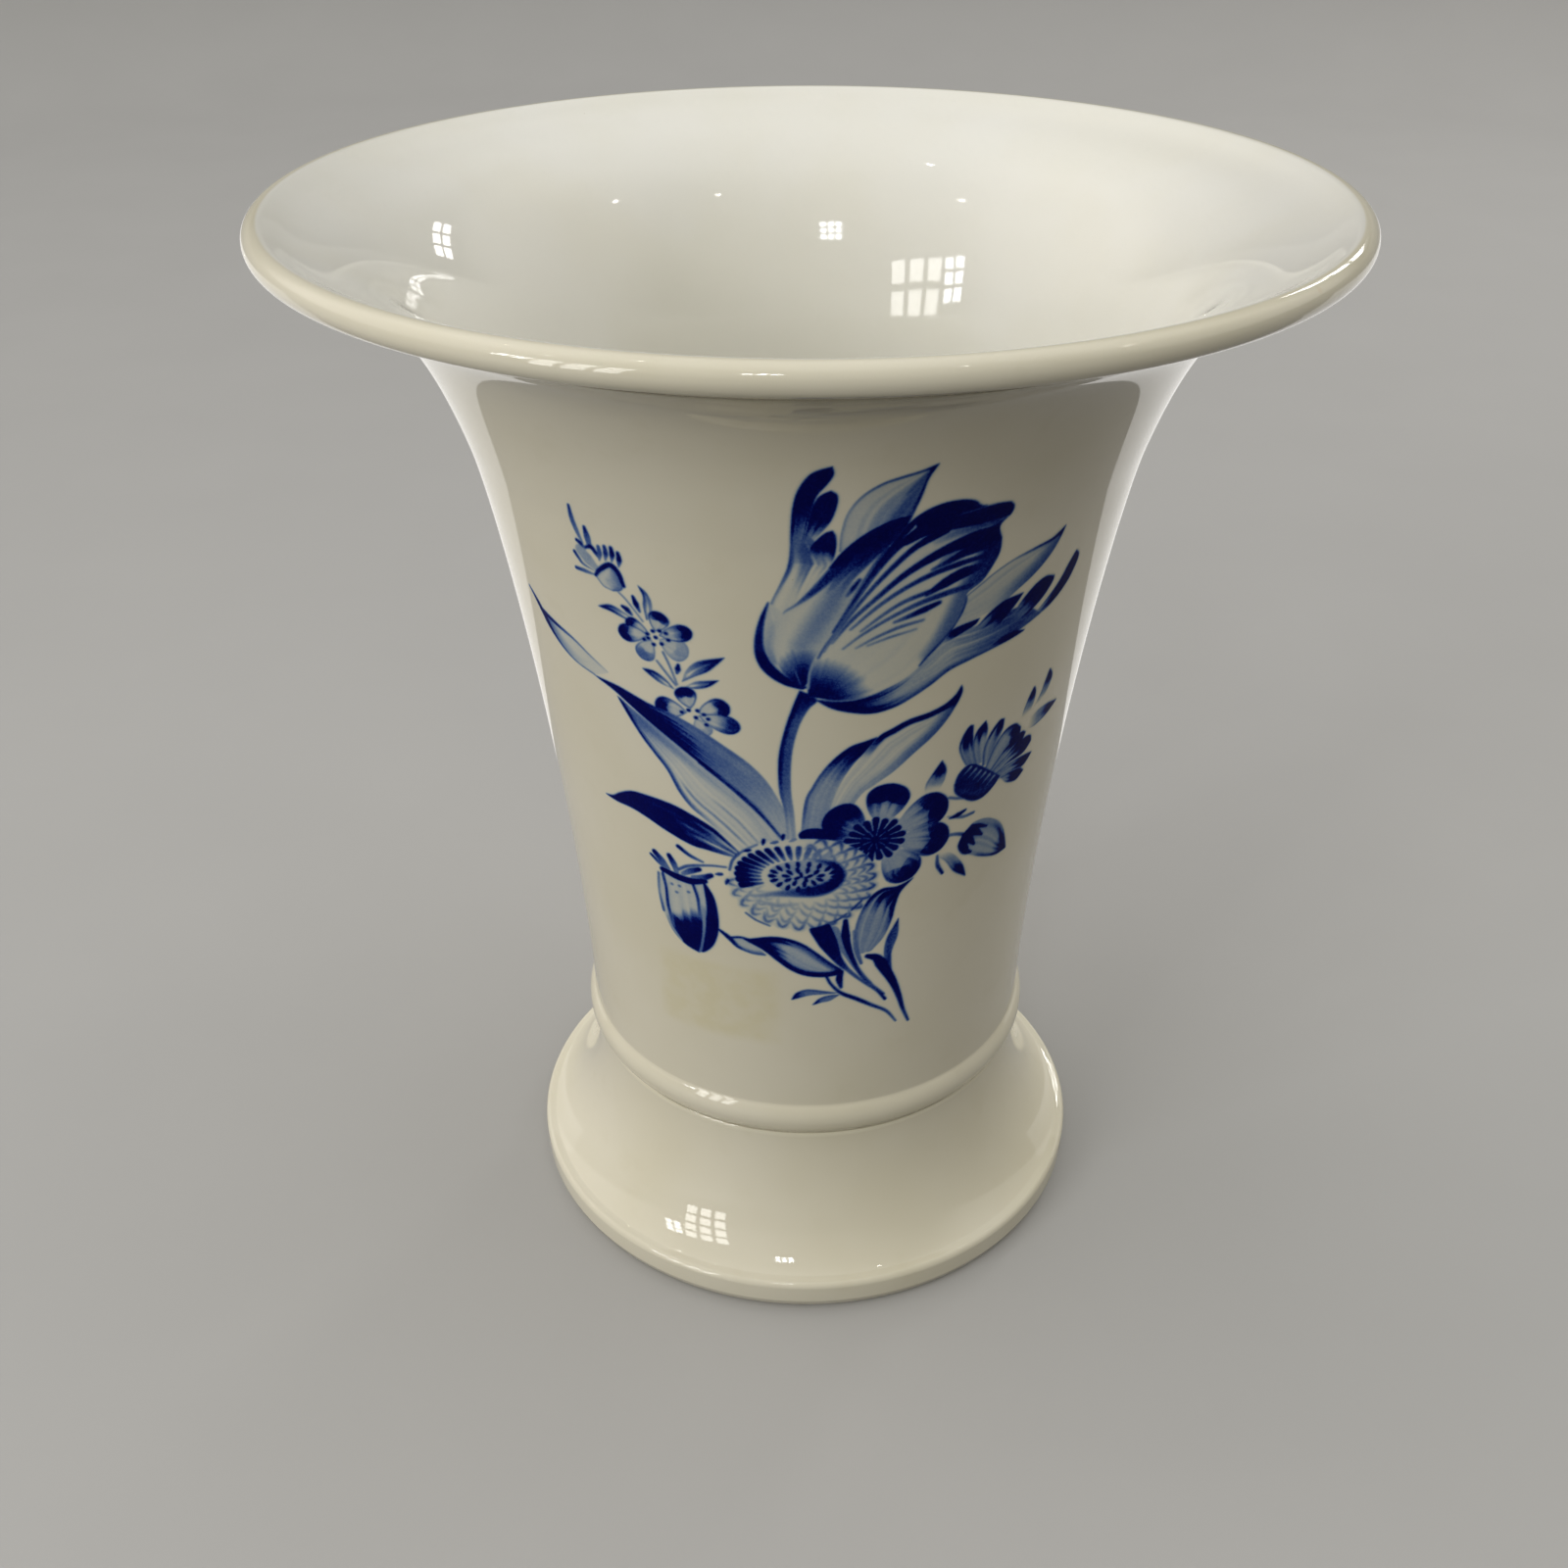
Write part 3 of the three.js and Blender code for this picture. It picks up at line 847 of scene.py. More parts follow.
    for points, widths, tones in (
            ([(13.6, 150), (16, 151.2), (19, 151.7), (21.5, 151.5), (23.6, 151)],
             [0.8, 2.0, 2.6, 2.4, 1.2], [1]),
            ([(24, 146.6), (21, 144.6), (18.6, 142.6)], [2.4, 3.0, 1.4], [0.45, 0.4, 0.25]),
            ([(15, 149.8), (19, 150.2), (23, 150.2)], [1.6, 2.0, 1.6], [1]),
            ([(13, 146.8), (16, 148.6), (20, 149.3), (24, 149.5), (28.2, 149.9)],
             [0.9, 2.2, 2.7, 2.7, 2.6], [1]),
            ([(13.6, 149.6), (10.8, 145.8), (8.2, 141.4), (5.6, 136.6), (3.2, 132), (1.6, 128.6)],
             [1.0, 0.8, 0.6, 0.5, 0.4, 0.4], [1, 0.95, 0.85, 0.75, 0.7, 0.5]),
            ([(15.4, 149), (12, 146.2), (9.2, 142.4), (6.6, 138), (4.2, 133.4), (2.4, 129.6)],
             [1.6, 0.9, 0.6, 0.5, 0.4, 0.3], [1, 0.95, 0.75, 0.6, 0.5, 0.3]),
            ([(18.4, 148.2), (14.5, 145.9), (11.5, 143), (8.5, 139.4), (5.6, 135.2), (3.2, 131)],
             [1.6, 0.9, 0.7, 0.5, 0.45, 0.3], [1, 0.95, 0.8, 0.7, 0.55, 0.3]),
            ([(27, 145.9), (24, 145.9), (20, 145.1), (16.5, 143.6), (13, 141.4), (9.5, 138.2), (6, 134.6),
             (3.5, 131)], [2.6, 2.4, 1.6, 1.1, 0.8, 0.6, 0.5, 0.3], [1, 1, 1, 0.95, 0.85, 0.7, 0.6, 0.3]),
            ([(25.8, 144.4), (22, 143.8), (19, 142.6), (17, 141.8)], [1.4, 1.5, 1.0, 0.4],
             [0.9, 0.98, 0.95, 0.6]),
            ([(25.4, 142.6), (21, 142), (17, 141), (13, 139.1), (9.4, 136.5), (6, 133.2)],
             [0.6, 0.9, 0.8, 0.6, 0.5, 0.35], [0.8, 0.95, 0.85, 0.7, 0.55, 0.35]),
            ([(25, 141), (21.5, 140.3), (18.6, 139), (16.4, 137.7)], [0.8, 1.8, 1.6, 0.5],
             [0.8, 1, 1, 0.8]),
            ([(17.6, 138.4), (13.6, 137.2), (10.6, 135.4), (7.4, 132.8)], [0.7, 0.6, 0.45, 0.3],
             [0.9, 0.6, 0.5, 0.35]),
            ([(23, 138), (19, 137.4), (15, 136.3), (11, 134.4), (7.6, 132.2), (5, 130)],
             [0.9, 0.9, 0.7, 0.5, 0.4, 0.3], [0.75, 0.75, 0.65, 0.5, 0.45, 0.3]),
            ([(18.4, 136.1), (16.2, 135.3), (14, 134.5), (12, 133.8)], [0.6, 1.0, 0.7, 0.4],
             [0.98, 0.98, 0.8, 0.4]),
            ([(16.2, 133.6), (12.8, 132.9), (9.6, 131.6), (6.8, 130)], [0.4, 0.5, 0.4, 0.3],
             [0.4, 0.5, 0.45, 0.25]),
            ([(15.2, 132.2), (11.6, 131.4), (8.4, 130.3)], [0.35], [0.25, 0.4, 0.25]),
            ([(22.6, 136.8), (22.5, 134.8), (21.4, 132), (19.6, 129.8), (17.4, 127.4), (16.2, 125.8)],
             [0.45], [0.5, 0.85, 0.8, 0.7, 0.8, 0.7])):
        line(points, widths, tones, soft=0.35, clip=great)
    line([(20.4, 150.35), (22.4, 150.6), (24.4, 150.95)], [0.25], [0.6], lift=True)
    line([(26.4, 147.7), (22.6, 147.3), (18.8, 146.4), (15.4, 144.9)], [0.3, 0.5, 0.5, 0.4],
         [0.8, 0.6, 0.3, 0.15], soft=0.5, lift=True)
    heart((1.0, 120.8), (7.2, 6.8), 0.25, great, 87)
    line([(0.3, 123.4), (0.5, 126.2), (1.6, 129.4), (3.4, 132.6)], [0.4], [0.2, 0.15, 0.1],
         lift=True, soft=0.3)
    line([(1.6, 121.4), (4.4, 121), (7.4, 121.2), (10.4, 122.2), (14, 124.2)], [0.3],
         [0.4, 0.3, 0.2, 0.1], lift=True)


def heart(centre, reach, hold, petal, seed):
    """The dark glow at the foot of a petal: full out to a share of its reach, then fading in fringes."""
    u, v = petal.u - centre[0], petal.v - centre[1]
    hairs = streaks((np.arctan2(v, u) / np.pi + 1) / 2, 90, seed)
    away = np.hypot(u / reach[0], v / reach[1]) * (1 + 0.12 * (hairs - 0.5))
    tone = smooth((1.3 - away) / (1.3 - hold))
    old = density[petal.place]
    density[petal.place] = old + petal.mask * np.maximum(tone - old, 0)


def floret(centre, petals, stamens):
    """A small open flower: round petals by (angle, length, width, depth of tone), then stamens."""
    for number, (angle, length, width, deep) in enumerate(petals):
        petal = round_petal(centre, angle, 0.9, length, width)
        hairs = petal.hairs(7, 90 + number)
        tone = 0.05 + 0.08 * hairs + deep * rise(petal.along + 0.12 * hairs, 0.35, 0.6)
        tone += 0.35 * fall(petal.gap, 0.3) * (0.4 + deep)
        petal.paint(tone)
    for u, v in stamens:
        dot(centre[0] + u, centre[1] + v, 0.55, 0.98)


def sprig():
    """The spray at the upper left: buds, two small flowers and their leaves."""
    for points, widths, tones in (
            ([(-34.4, 148.3), (-34.2, 146), (-33.5, 143.8), (-32.9, 142.4)], [0.4, 0.8, 0.8, 0.4],
             [0.85, 0.6, 0.45, 0.3]),
            ([(-32.1, 145.2), (-31.8, 143.6), (-31.6, 142.2)], [0.5, 1.1, 0.9], [0.95, 0.6, 0.35]),
            ([(-33.9, 142.5), (-33.2, 142.1), (-32.5, 141.4)], [0.5, 0.7, 0.3], [0.95, 0.8, 0.3]),
            ([(-32.4, 141.7), (-31.4, 142.1), (-30.6, 141.3), (-30, 140.4)], [0.4, 0.7, 0.7, 0.3],
             [0.8, 0.95, 0.8, 0.3]),
            ([(-34.7, 140.3), (-34, 139.4), (-33.2, 138.6), (-31.4, 138.1)], [0.5, 0.5, 0.35, 0.2],
             [0.9, 0.6, 0.35, 0.2]),
            ([(-34.8, 137.5), (-33.2, 137.5), (-31.2, 137.4)], [0.5, 0.6, 0.3], [0.8, 0.5, 0.25]),
            ([(-33.6, 141), (-32, 139.6), (-30.8, 138.6)], [1.6, 2.0, 1.0], [0.18, 0.2, 0.15])):
        line(points, widths, tones)
    for u, v, tone in (
            (-30, 141.5, 0.6), (-28.9, 141.8, 0.75), (-27.8, 141.9, 0.98), (-26.7, 141.3, 0.95)):
        line([(u, v + 1.0), (u + 0.1, v), (u - 0.1, v - 1.3)], [0.55, 0.85, 0.3], [tone, tone, 0.3])
    cup = Petal([(-28.3, 135.5), (-29.8, 135.8), (-30.8, 136.8), (-31, 137.4), (-30, 138.5),
                 (-28.3, 139.8)], [(-28.3, 135.5), (-27, 135.9), (-26.4, 136.8), (-26.8, 138.6),
                 (-28.3, 139.8)])
    cup.paint(0.06 + 0.3 * rise(cup.across, 0.3, 0.5) + 0.3 * fall(cup.gap, 0.35))
    line([(-31.1, 137.4), (-30.2, 138.6), (-28.3, 139.9), (-27, 138.9), (-26.3, 136.9)],
         [0.5, 0.7, 0.8, 0.8, 0.6], [0.9, 1, 1, 1, 0.9])
    line([(-27.3, 135.6), (-26.2, 134.7), (-24.9, 133.2), (-23.6, 131.6)], [0.3], [0.3])
    line([(-20.7, 127), (-19.7, 124.6), (-18.8, 121.8)], [0.35], [0.4, 0.35, 0.3])
    line([(-21.8, 125.2), (-20.4, 123.4), (-19, 121.6)], [0.35], [0.35])
    for left, right, deep in (
            ([(-23, 132), (-23.3, 134.3), (-23.2, 136), (-23.9, 137.6)],
             [(-22.2, 132.4), (-21.9, 134.8), (-22.6, 136.6), (-23.9, 137.6)], 0.5),
            ([(-24.6, 130.8), (-26.6, 131.2), (-29, 131.8), (-31.4, 132)],
             [(-24.9, 131.6), (-26.6, 132.3), (-29, 132.9), (-31.4, 132)], 0.75),
            ([(-18, 122.4), (-15.8, 123.9), (-13.8, 125.2), (-11.4, 127.8)],
             [(-18, 122.4), (-17.2, 124.6), (-15.3, 126.5), (-11.4, 127.8)], 0.85),
            ([(-17.8, 121.4), (-15.6, 121.7), (-13.9, 122.4), (-12.4, 123.7)],
             [(-17.8, 121.4), (-16, 122.8), (-14.2, 123.3), (-12.4, 123.7)], 0.7),
            ([(-19.3, 120.8), (-20.6, 122.2), (-22.4, 123.2), (-24.4, 123.2)],
             [(-19.3, 120.8), (-21.2, 121.2), (-22.8, 122.1), (-24.4, 123.2)], 0.7)):
        leaf = Petal(left, right)
        tone = 0.2 + deep * rise(leaf.along, 0.15, 0.75) + 0.35 * leaf.left_edge(0.4)
        leaf.paint(tone - 0.3 * leaf.vein(0.5, 0.3, 0.1, 0.8))
    for points in (
            [(-24.9, 135.5), (-24.5, 134.4), (-24, 133.2)],
            [(-26.9, 133.3), (-26.2, 133), (-25.4, 132.3)],
            [(-18.4, 125.3), (-18.5, 124.6), (-18.7, 123.8)]):
        line(points, [0.4, 0.9, 0.4], [1, 0.95, 0.6])
    floret((-16.6, 117), [(178, 5.2, 3.6, 0.95), (107, 3.8, 3.4, 1.0), (23, 5.2, 3.4, 0.95),
            (-12, 6.4, 3.2, 0.7), (-60, 3.4, 3, 0.1)],
           [(-1.7, -0.1), (-0.6, 0.5), (0.8, 0.7), (0.5, -0.6), (1.8, 0.2), (2.4, -0.5), (2.1, -1.6)])
    floret((-22, 129.5), [(-25, 4.8, 3.8, 0.12), (18, 5.4, 2.8, 0.9), (72, 3.6, 3.2, 0.95),
            (162, 3.9, 2.4, 0.9), (188, 5.2, 3.0, 1.0), (243, 4.2, 3.2, 0.35)],
           [(-1.0, 0.1), (-0.9, -0.6), (-1.6, -1.0), (-0.1, -1.5), (1.2, -1.1), (2.3, -0.2), (2.0, 0.9),
            (1.0, 1.1), (-0.1, 0.8), (0.3, -0.2)])


def anemone():
    """The dark flower right of the middle, with its ring of stamens."""
    centre = (10.6, 94.4)
    for angle, start, length, width, pale in (
            (171, 3.4, 8.4, 3.3, -0.1), (139, 2.2, 7.4, 6.6, -0.02), (77, 2.8, 8.0, 6.8, 0.14),
            (24, 3.2, 9.6, 6.6, 0.24), (-13, 3.2, 9.6, 6.4, 0.28), (-55, 2.6, 8.4, 6.4, 0.42)):
        petal = round_petal(centre, angle, start, length, width)
        hairs = petal.hairs(17, 120 + angle)
        dark = smooth((petal.along + 0.18 * (hairs - 0.5) - pale) / 0.52)
        rim = fall(petal.gap, 0.8) * rise(petal.along, 0.2, 0.4)
        petal.paint(0.16 + 0.2 * hairs * petal.along + 0.86 * np.maximum(dark, 0.7 * rim))
    halo = round_petal((centre[0] - 4.9, centre[1]), 0, 0, 9.8, 8.4)
    halo.paint(0.10 + 0.08 * halo.hairs(14, 131))
    line([(centre[0] - 0.4, centre[1] - 0.4), (centre[0] + 0.4, centre[1])], [4.0], [1], soft=0.4)
    for number in range(17):
        angle = 2 * np.pi * number / 17 + 0.1
        away = 4.3 - 0.35 * (number % 2)
        stamen = [(centre[0] + r * np.cos(angle), centre[1] + 0.92 * r * np.sin(angle))
                  for r in (1.6, 0.5 * (1.6 + away), away)]
        line(stamen, [0.4, 0.8, 1.15], [1], soft=0.15)
    for number in range(9):
        angle = 2 * np.pi * number / 9
        line([(centre[0] + r * np.cos(angle), centre[1] + r * np.sin(angle)) for r in (0.8, 1.3, 2.0)],
             [0.2], [0.4], lift=True, soft=0.2)


def aster():
    """The flower in front, a ring of scales round a dark eye."""
    middle = (-1.0, 87.2)
    rim_centre = (-0.6, 86.4)
    bloom = Petal([(-12, 88), (-11.6, 84), (-9.6, 80.6), (-6.6, 78.2), (-3, 77.1), (0.6, 77.2),
                   (3.6, 78.2), (6.4, 80), (8.8, 82.4), (10.4, 85.2), (10.8, 88.4)],
                  [(-12, 88), (-10.4, 91.4), (-7.6, 93.8), (-4, 95), (0, 95.5), (4.2, 95), (7.6, 93.2),
                   (9.8, 90.9), (10.8, 88.4)])
    bloom.paint(0.03)
    # scales: rows of scallops, soft grey, stronger at the rim and on the right
    rows = (11.6, 9.4, 0.55), (10.2, 8.1, 0.32), (8.8, 6.8, 0.26), (7.4, 5.5, 0.2)
    for row, (reach_u, reach_v, tone) in enumerate(rows):
        count = 19 - 2 * row
        for number in range(count):
            turn = number + 0.5 * (row % 2)
            start, end = (np.radians(178 + 262 * (turn + k) / count) for k in (0.06, 0.94))
            waver = 0.35 * np.sin(7.0 * number + 2 * row)
            scale = [(rim_centre[0] + (reach_u - dip) * np.cos(a),
                      rim_centre[1] + (reach_v - dip) * np.sin(a))
                     for a, dip in ((start, 1.6 + waver), (0.6 * start + 0.4 * end, 0.4 + waver),
                                    (0.3 * start + 0.7 * end, 0.25), (end, 1.3 - waver))]
            shade = tone * (0.75 + 0.5 * rise(np.degrees(start), 230, 120))
            line(scale, [0.3, 0.5, 0.5, 0.3], [0.5 * shade, shade, shade, 0.5 * shade], soft=0.45)
            line(scale[1:3], [1.1], [0.25 * shade], soft=1.2)
    line([(-9.4, 79.6), (-7.8, 78.4), (-5.6, 77.4)], [0.3], [0.5, 0.6, 0.4])
    line([(3.2, 78), (5, 78.8), (6.4, 79.9)], [0.35], [0.5, 0.7, 0.6])
    line([(7.2, 80.6), (8.8, 82.4)], [0.3, 0.45, 0.3], [0.7])
    # dark ray petals on the upper left of the ring
    for number in range(17):
        angle = np.radians(202 - number * 10.4)
        fade = smooth((16 - number) / 9.0)
        ray = [(middle[0] - 0.4 + k * 9.4 * np.cos(angle), middle[1] + 0.4 + k * 6.2 * np.sin(angle))
               for k in (0.6, 0.8, 0.97)]
        tones = [share * fade + 0.1 for share in (0.4, 0.85, 0.98)]
        line(ray, [0.4, 0.8, 1.2 - 0.035 * number], tones, soft=0.25)
    # teeth round the top edge
    for u, v, angle, tone in (
            (-13.6, 86.7, 15, 0.8), (-12.3, 85.4, 70, 0.9), (-9, 92.4, 20, 0.95), (-6.4, 94.4, 80, 1),
            (-3.4, 95.6, 80, 0.95), (-4.8, 94.5, 20, 0.5), (-2, 95.1, 30, 0.3), (-10.6, 91.2, 50, 0.6)):
        dab(u, v, 1.0, 0.6, angle, tone)
    line([(-11.8, 88), (-11.2, 90.2), (-9.6, 92.2), (-7.4, 93.8)], [0.4], [0.5, 0.6, 0.4, 0.3])
    # eye
    eye = Petal([(-5.7, 88), (-5.2, 86.4), (-3, 84.9), (0, 84.6), (3, 85.3), (4.8, 86.6), (5.3, 88.2)],
                [(-5.7, 88), (-5, 89.6), (-2.6, 90.8), (0.4, 91.1), (3.2, 90.6), (4.8, 89.6),
                 (5.3, 88.2)])
    eye.paint(0.08 + 0.14 * eye.hairs(9, 133))
    line([(1.6, 91.2), (4.2, 90.2), (5.2, 88.4), (4.6, 86.6), (2.4, 85.2), (-0.6, 84.7), (-4.4, 84.2),
          (-8, 83.3)], [0.4, 1.2, 1.8, 2.2, 2.0, 1.3, 0.8, 0.5],
         [0.6, 0.9, 1, 0.95, 0.8, 0.55, 0.35, 0.2], soft=0.9)
    line([(-7.6, 82.6), (-4.6, 81.8), (-1.2, 82.2)], [0.5, 0.7, 0.5], [0.15, 0.22, 0.15], soft=0.8)
    rings = (4.7, 2.4, 18, 1.0), (2.6, 1.3, 11, 0.95), (0.9, 0.4, 4, 0.8)
    for ring, (reach_u, reach_v, count, size) in enumerate(rings):
        for number in range(count):
            angle = np.radians(360 * number / count + 11 * ring)
            u = middle[0] + 0.7 + reach_u * np.cos(angle)
            v = middle[1] + 0.6 + reach_v * np.sin(angle)
            direction = np.degrees(np.arctan2(np.sin(angle) * 1.3, np.cos(angle)))
            dab(u, v, 0.9, size * 0.72, direction, 1.0)


def right_buds():
    """The cornflower and the round bud on the right, with their leaves."""
    # cornflower: ray petals that fan up and right from a dark scaly cup
    for left, right, pale in (
            ([(25.2, 105), (24.2, 107), (23.7, 109), (24.2, 111), (25.2, 112.5), (25.9, 112.4)],
             [(27, 104.4), (26.4, 108), (26, 110.4), (25.9, 112.4)], 0.45),
            ([(27, 104.4), (26.2, 108), (26.6, 110.8), (28.2, 112.5)],
             [(29, 104.4), (28.8, 108), (28.7, 110.8), (28.2, 112.5)], 0.5),
            ([(28.4, 103.6), (28.4, 107), (29.4, 109.6), (31, 111.4), (32, 111.4)],
             [(30.6, 103.6), (31.2, 107), (31.9, 109.4), (32, 111.4)], 0.62),
            ([(29, 102.8), (30.4, 106.2), (32.4, 108.8), (34.6, 109.3), (36.2, 108)],
             [(32, 101.6), (34, 104.4), (36, 106.2), (36.2, 108)], 0.6),
            ([(30, 102), (33, 105), (36.4, 106.8), (37.7, 106.3)],
             [(32, 101.2), (34.4, 103.4), (36.8, 104.8), (37.7, 106.3)], 0.4),
            ([(30.4, 101.6), (34, 103.8), (37.4, 105.2), (39.2, 104.9), (39.6, 103.6)],
             [(31.6, 100.8), (34.4, 101.8), (37.8, 102.2), (39.6, 103.6)], 0.35),
            ([(31.6, 101), (35, 101.6), (38.6, 101.4), (40.4, 101)],
             [(32.4, 99.4), (35.4, 99.2), (38.4, 99.4), (40.4, 101)], 0.42),
            ([(32.6, 99.6), (35, 99.6), (37.4, 99.2), (38.6, 98.2)],
             [(33.2, 99), (34.6, 97.8), (36.8, 97.2), (38.6, 98.2)], 0.2)):
        petal = Petal(left, right)
        hairs = petal.hairs(7, int(abs(left[0][0] * 7)))
        tone = 0.14 + 0.2 * hairs + 0.85 * rise(petal.along + 0.3 * hairs - pale, 0.1, 0.3)
        tone += 0.3 * petal.left_edge(0.5)
        petal.paint(tone)
    cup = Petal([(32.6, 100), (31.4, 98.6), (29.4, 97.3), (27.2, 97.3), (25, 98.7), (23.6, 100.2),
                 (23.3, 101.8)], [(32.6, 100), (30.8, 101.6), (28.8, 103.3), (26.8, 104.7), (25.2, 104.8),
                 (23.9, 103.6), (23.3, 101.8)])
    cup.paint(0.75 + 0.2 * cup.hairs(9, 141))
    for number in range(6):
        start = (31.2 - 1.0 * number, 100.6 + 0.75 * number)
        line([start, (start[0] - 1.5, start[1] - 1.3)], [0.5, 0.15], [0.2, 0.55], soft=0.3, lift=True)
    for left, right in (
            ([(36, 109.6), (36.6, 111.6), (37.4, 113.4), (38.3, 114.9)],
             [(38.2, 110), (38.8, 112), (38.8, 113.8), (38.3, 114.9)]),
            ([(39, 110.6), (40.4, 112.6), (41.2, 114.6), (42, 116.6)],
             [(41.2, 111.2), (42.6, 113), (43, 115), (42, 116.6)]),
            ([(37.8, 106.6), (40.4, 106.5), (43.4, 107.2), (46.4, 108.4)],
             [(38, 108.4), (40.6, 109.4), (43.4, 109.2), (46.4, 108.4)]),
            ([(18.2, 101.6), (18.4, 103.6), (19.6, 105.6), (20.8, 107.4)],
             [(20.6, 101.6), (21.5, 103.6), (21.6, 105.6), (20.8, 107.4)]),
            ([(20.4, 88.6), (22.6, 87), (24.6, 84), (27.2, 81.8)],
             [(22.8, 89), (24.8, 87), (26.4, 84.4), (27.2, 81.8)])):
        leaf = Petal(left, right)
        hairs = leaf.hairs(5, 151)
        tone = 0.16 + 0.2 * hairs + 0.85 * smooth((leaf.along - 0.5 + 0.2 * hairs) / 0.35)
        leaf.fade_in(tone + 0.2 * leaf.left_edge(0.4), 0.4)
    line([(21.2, 88.4), (21.4, 86.4), (22.4, 84.4)], [0.4, 0.7, 0.5], [0.5, 0.7, 1])
    line([(23, 95.4), (24.4, 95.5), (25.9, 96)], [0.3, 0.9, 0.4], [0.9, 1, 0.9])
    line([(22.6, 95.8), (25.4, 94.8), (27.6, 94.8)], [0.3, 0.6, 0.5], [0.2, 0.35, 0.5])
    line([(22.8, 92), (24.6, 91.6), (26.4, 90.8)], [0.6], [0.35, 0.5, 0.9])
    line([(22.6, 99.6), (24, 99), (25.4, 98.6)], [0.5], [0.4])
    # round bud
    bud = Petal([(26, 91.2), (25.4, 89.2), (26.2, 87.2), (28.4, 85.6), (31.4, 84), (34, 83.1),
                 (36.5, 83.1)], [(26, 91.2), (27.8, 92.6), (30.4, 92.4), (33, 90.8), (34.8, 88.6),
                 (35.8, 85.8), (36.5, 83.1)])
    hairs = bud.hairs(12, 161)
    tone = 0.1 + 0.22 * hairs + 0.85 * rise(bud.along + 0.15 * hairs, 0.8, 0.2)
    tone += 0.7 * bud.left_edge(0.7) * rise(bud.along, 0.4, 0.2)
    tone += 0.6 * fall(np.abs(bud.right_gap - 0.8), 0.7) * rise(bud.along, 0.4, 0.3)
    bud.paint(tone)
    for points, widths in (([(26.2, 90.6), (26, 88.8), (26.8, 87.2), (27.8, 86.6)], [1.2, 1.9, 1.6, 0.5]),
                           ([(26.8, 91), (27.4, 89.4), (28.4, 88)], [1.4, 1.5, 0.5]),
                           ([(27.2, 91.4), (28.6, 90.4), (29.9, 89.3)], [1.2, 1.5, 0.5]),
                           ([(27.6, 92), (29.2, 91.4), (30.8, 90.6)], [0.8, 0.9, 0.4])):
        line(points, widths, [1])


def pod():
    """The dark seed pod at the lower left, with its crown."""
    shell = Petal([(-17.6, 68.9), (-20, 69.8), (-22.2, 71.6), (-23.8, 74.4), (-24.6, 78), (-24.4, 81.6),
                   (-23.6, 84.6)], [(-17.6, 68.9), (-16.4, 69.6), (-15, 71.4), (-14.1, 74.4), (-14, 78),
                   (-14.6, 81.6), (-16.2, 84.6)])
    hairs = shell.hairs(20, 171)
    tone = 0.04 + 0.06 * hairs
    heavy = 0.95 * smooth((0.5 - shell.along + 0.35 * (shell.across - 0.35) + 0.12 * hairs) / 0.3)
    tone += heavy * smooth((0.86 - shell.across) / 0.1)
    shell.paint(tone)
    line([(-23.8, 84), (-23.2, 81), (-23, 77), (-22, 73), (-20.4, 70.6)], [0.6, 0.5, 0.6, 0.6, 0.5],
         [0.7, 0.8, 0.8, 0.5, 0.2], clip=shell)
    line([(-24.5, 83.4), (-24.6, 79.6), (-24, 75.6)], [0.5], [0.4, 0.3, 0.6])
    line([(-15.6, 84), (-14.9, 80), (-14.8, 76), (-15.4, 72), (-16.8, 69.6)], [1.4, 2.0, 2.4, 2.2, 1.0],
         [1], clip=shell)
    line([(-17.2, 83.6), (-16.6, 79.4), (-16.5, 75), (-17, 71), (-17.5, 69)], [0.8, 0.9, 0.7, 0.5, 0.5],
         [0.18, 0.18, 0.22, 0.3, 0.4], lift=True, clip=shell)
    line([(-18.2, 83.6), (-17.4, 80.6), (-17.2, 77)], [0.5], [0.8, 0.75, 0.5])
    line([(-23.6, 75.6), (-22.6, 72.8), (-20.8, 70.4)], [0.45], [0.2], lift=True)
    for u, v in ((-22, 82), (-20.6, 82.1), (-21.2, 80.6), (-19, 81.4)):
        dot(u, v, 0.5, 0.4)
    line([(-23.7, 84.5), (-21, 84), (-18.4, 83.9), (-16, 84.6)], [0.9, 1.3, 1.3, 0.9], [1])
    # crown
    for points, widths in (
            ([(-22.6, 85), (-23.6, 86.3), (-25, 87.6)], [0.9, 1.2, 0.9]),
            ([(-21, 85), (-21.4, 86.4), (-22.2, 87.9)], [0.9, 1.2, 0.8]),
            ([(-19.8, 85), (-18.4, 86), (-16.9, 86.8)], [0.8, 1.1, 0.8]),
            ([(-18, 84.8), (-16.4, 85.2), (-14.9, 86.1)], [0.9, 1.2, 0.8]),
            ([(-23, 84.9), (-24.4, 85.8), (-25.8, 86.8)], [0.5, 0.7, 0.4])):
        line(points, widths, [0.35, 0.6, 1.0])
    line([(-20.6, 85.6), (-18.6, 87), (-15, 88.1), (-12.4, 88.4)], [0.5, 0.5, 0.4, 0.4],
         [0.6, 0.5, 0.45, 0.4])
    line([(-20.4, 90.4), (-18.4, 89.2), (-16.2, 88.5)], [0.7, 0.6, 0.4], [0.95, 0.7, 0.4])


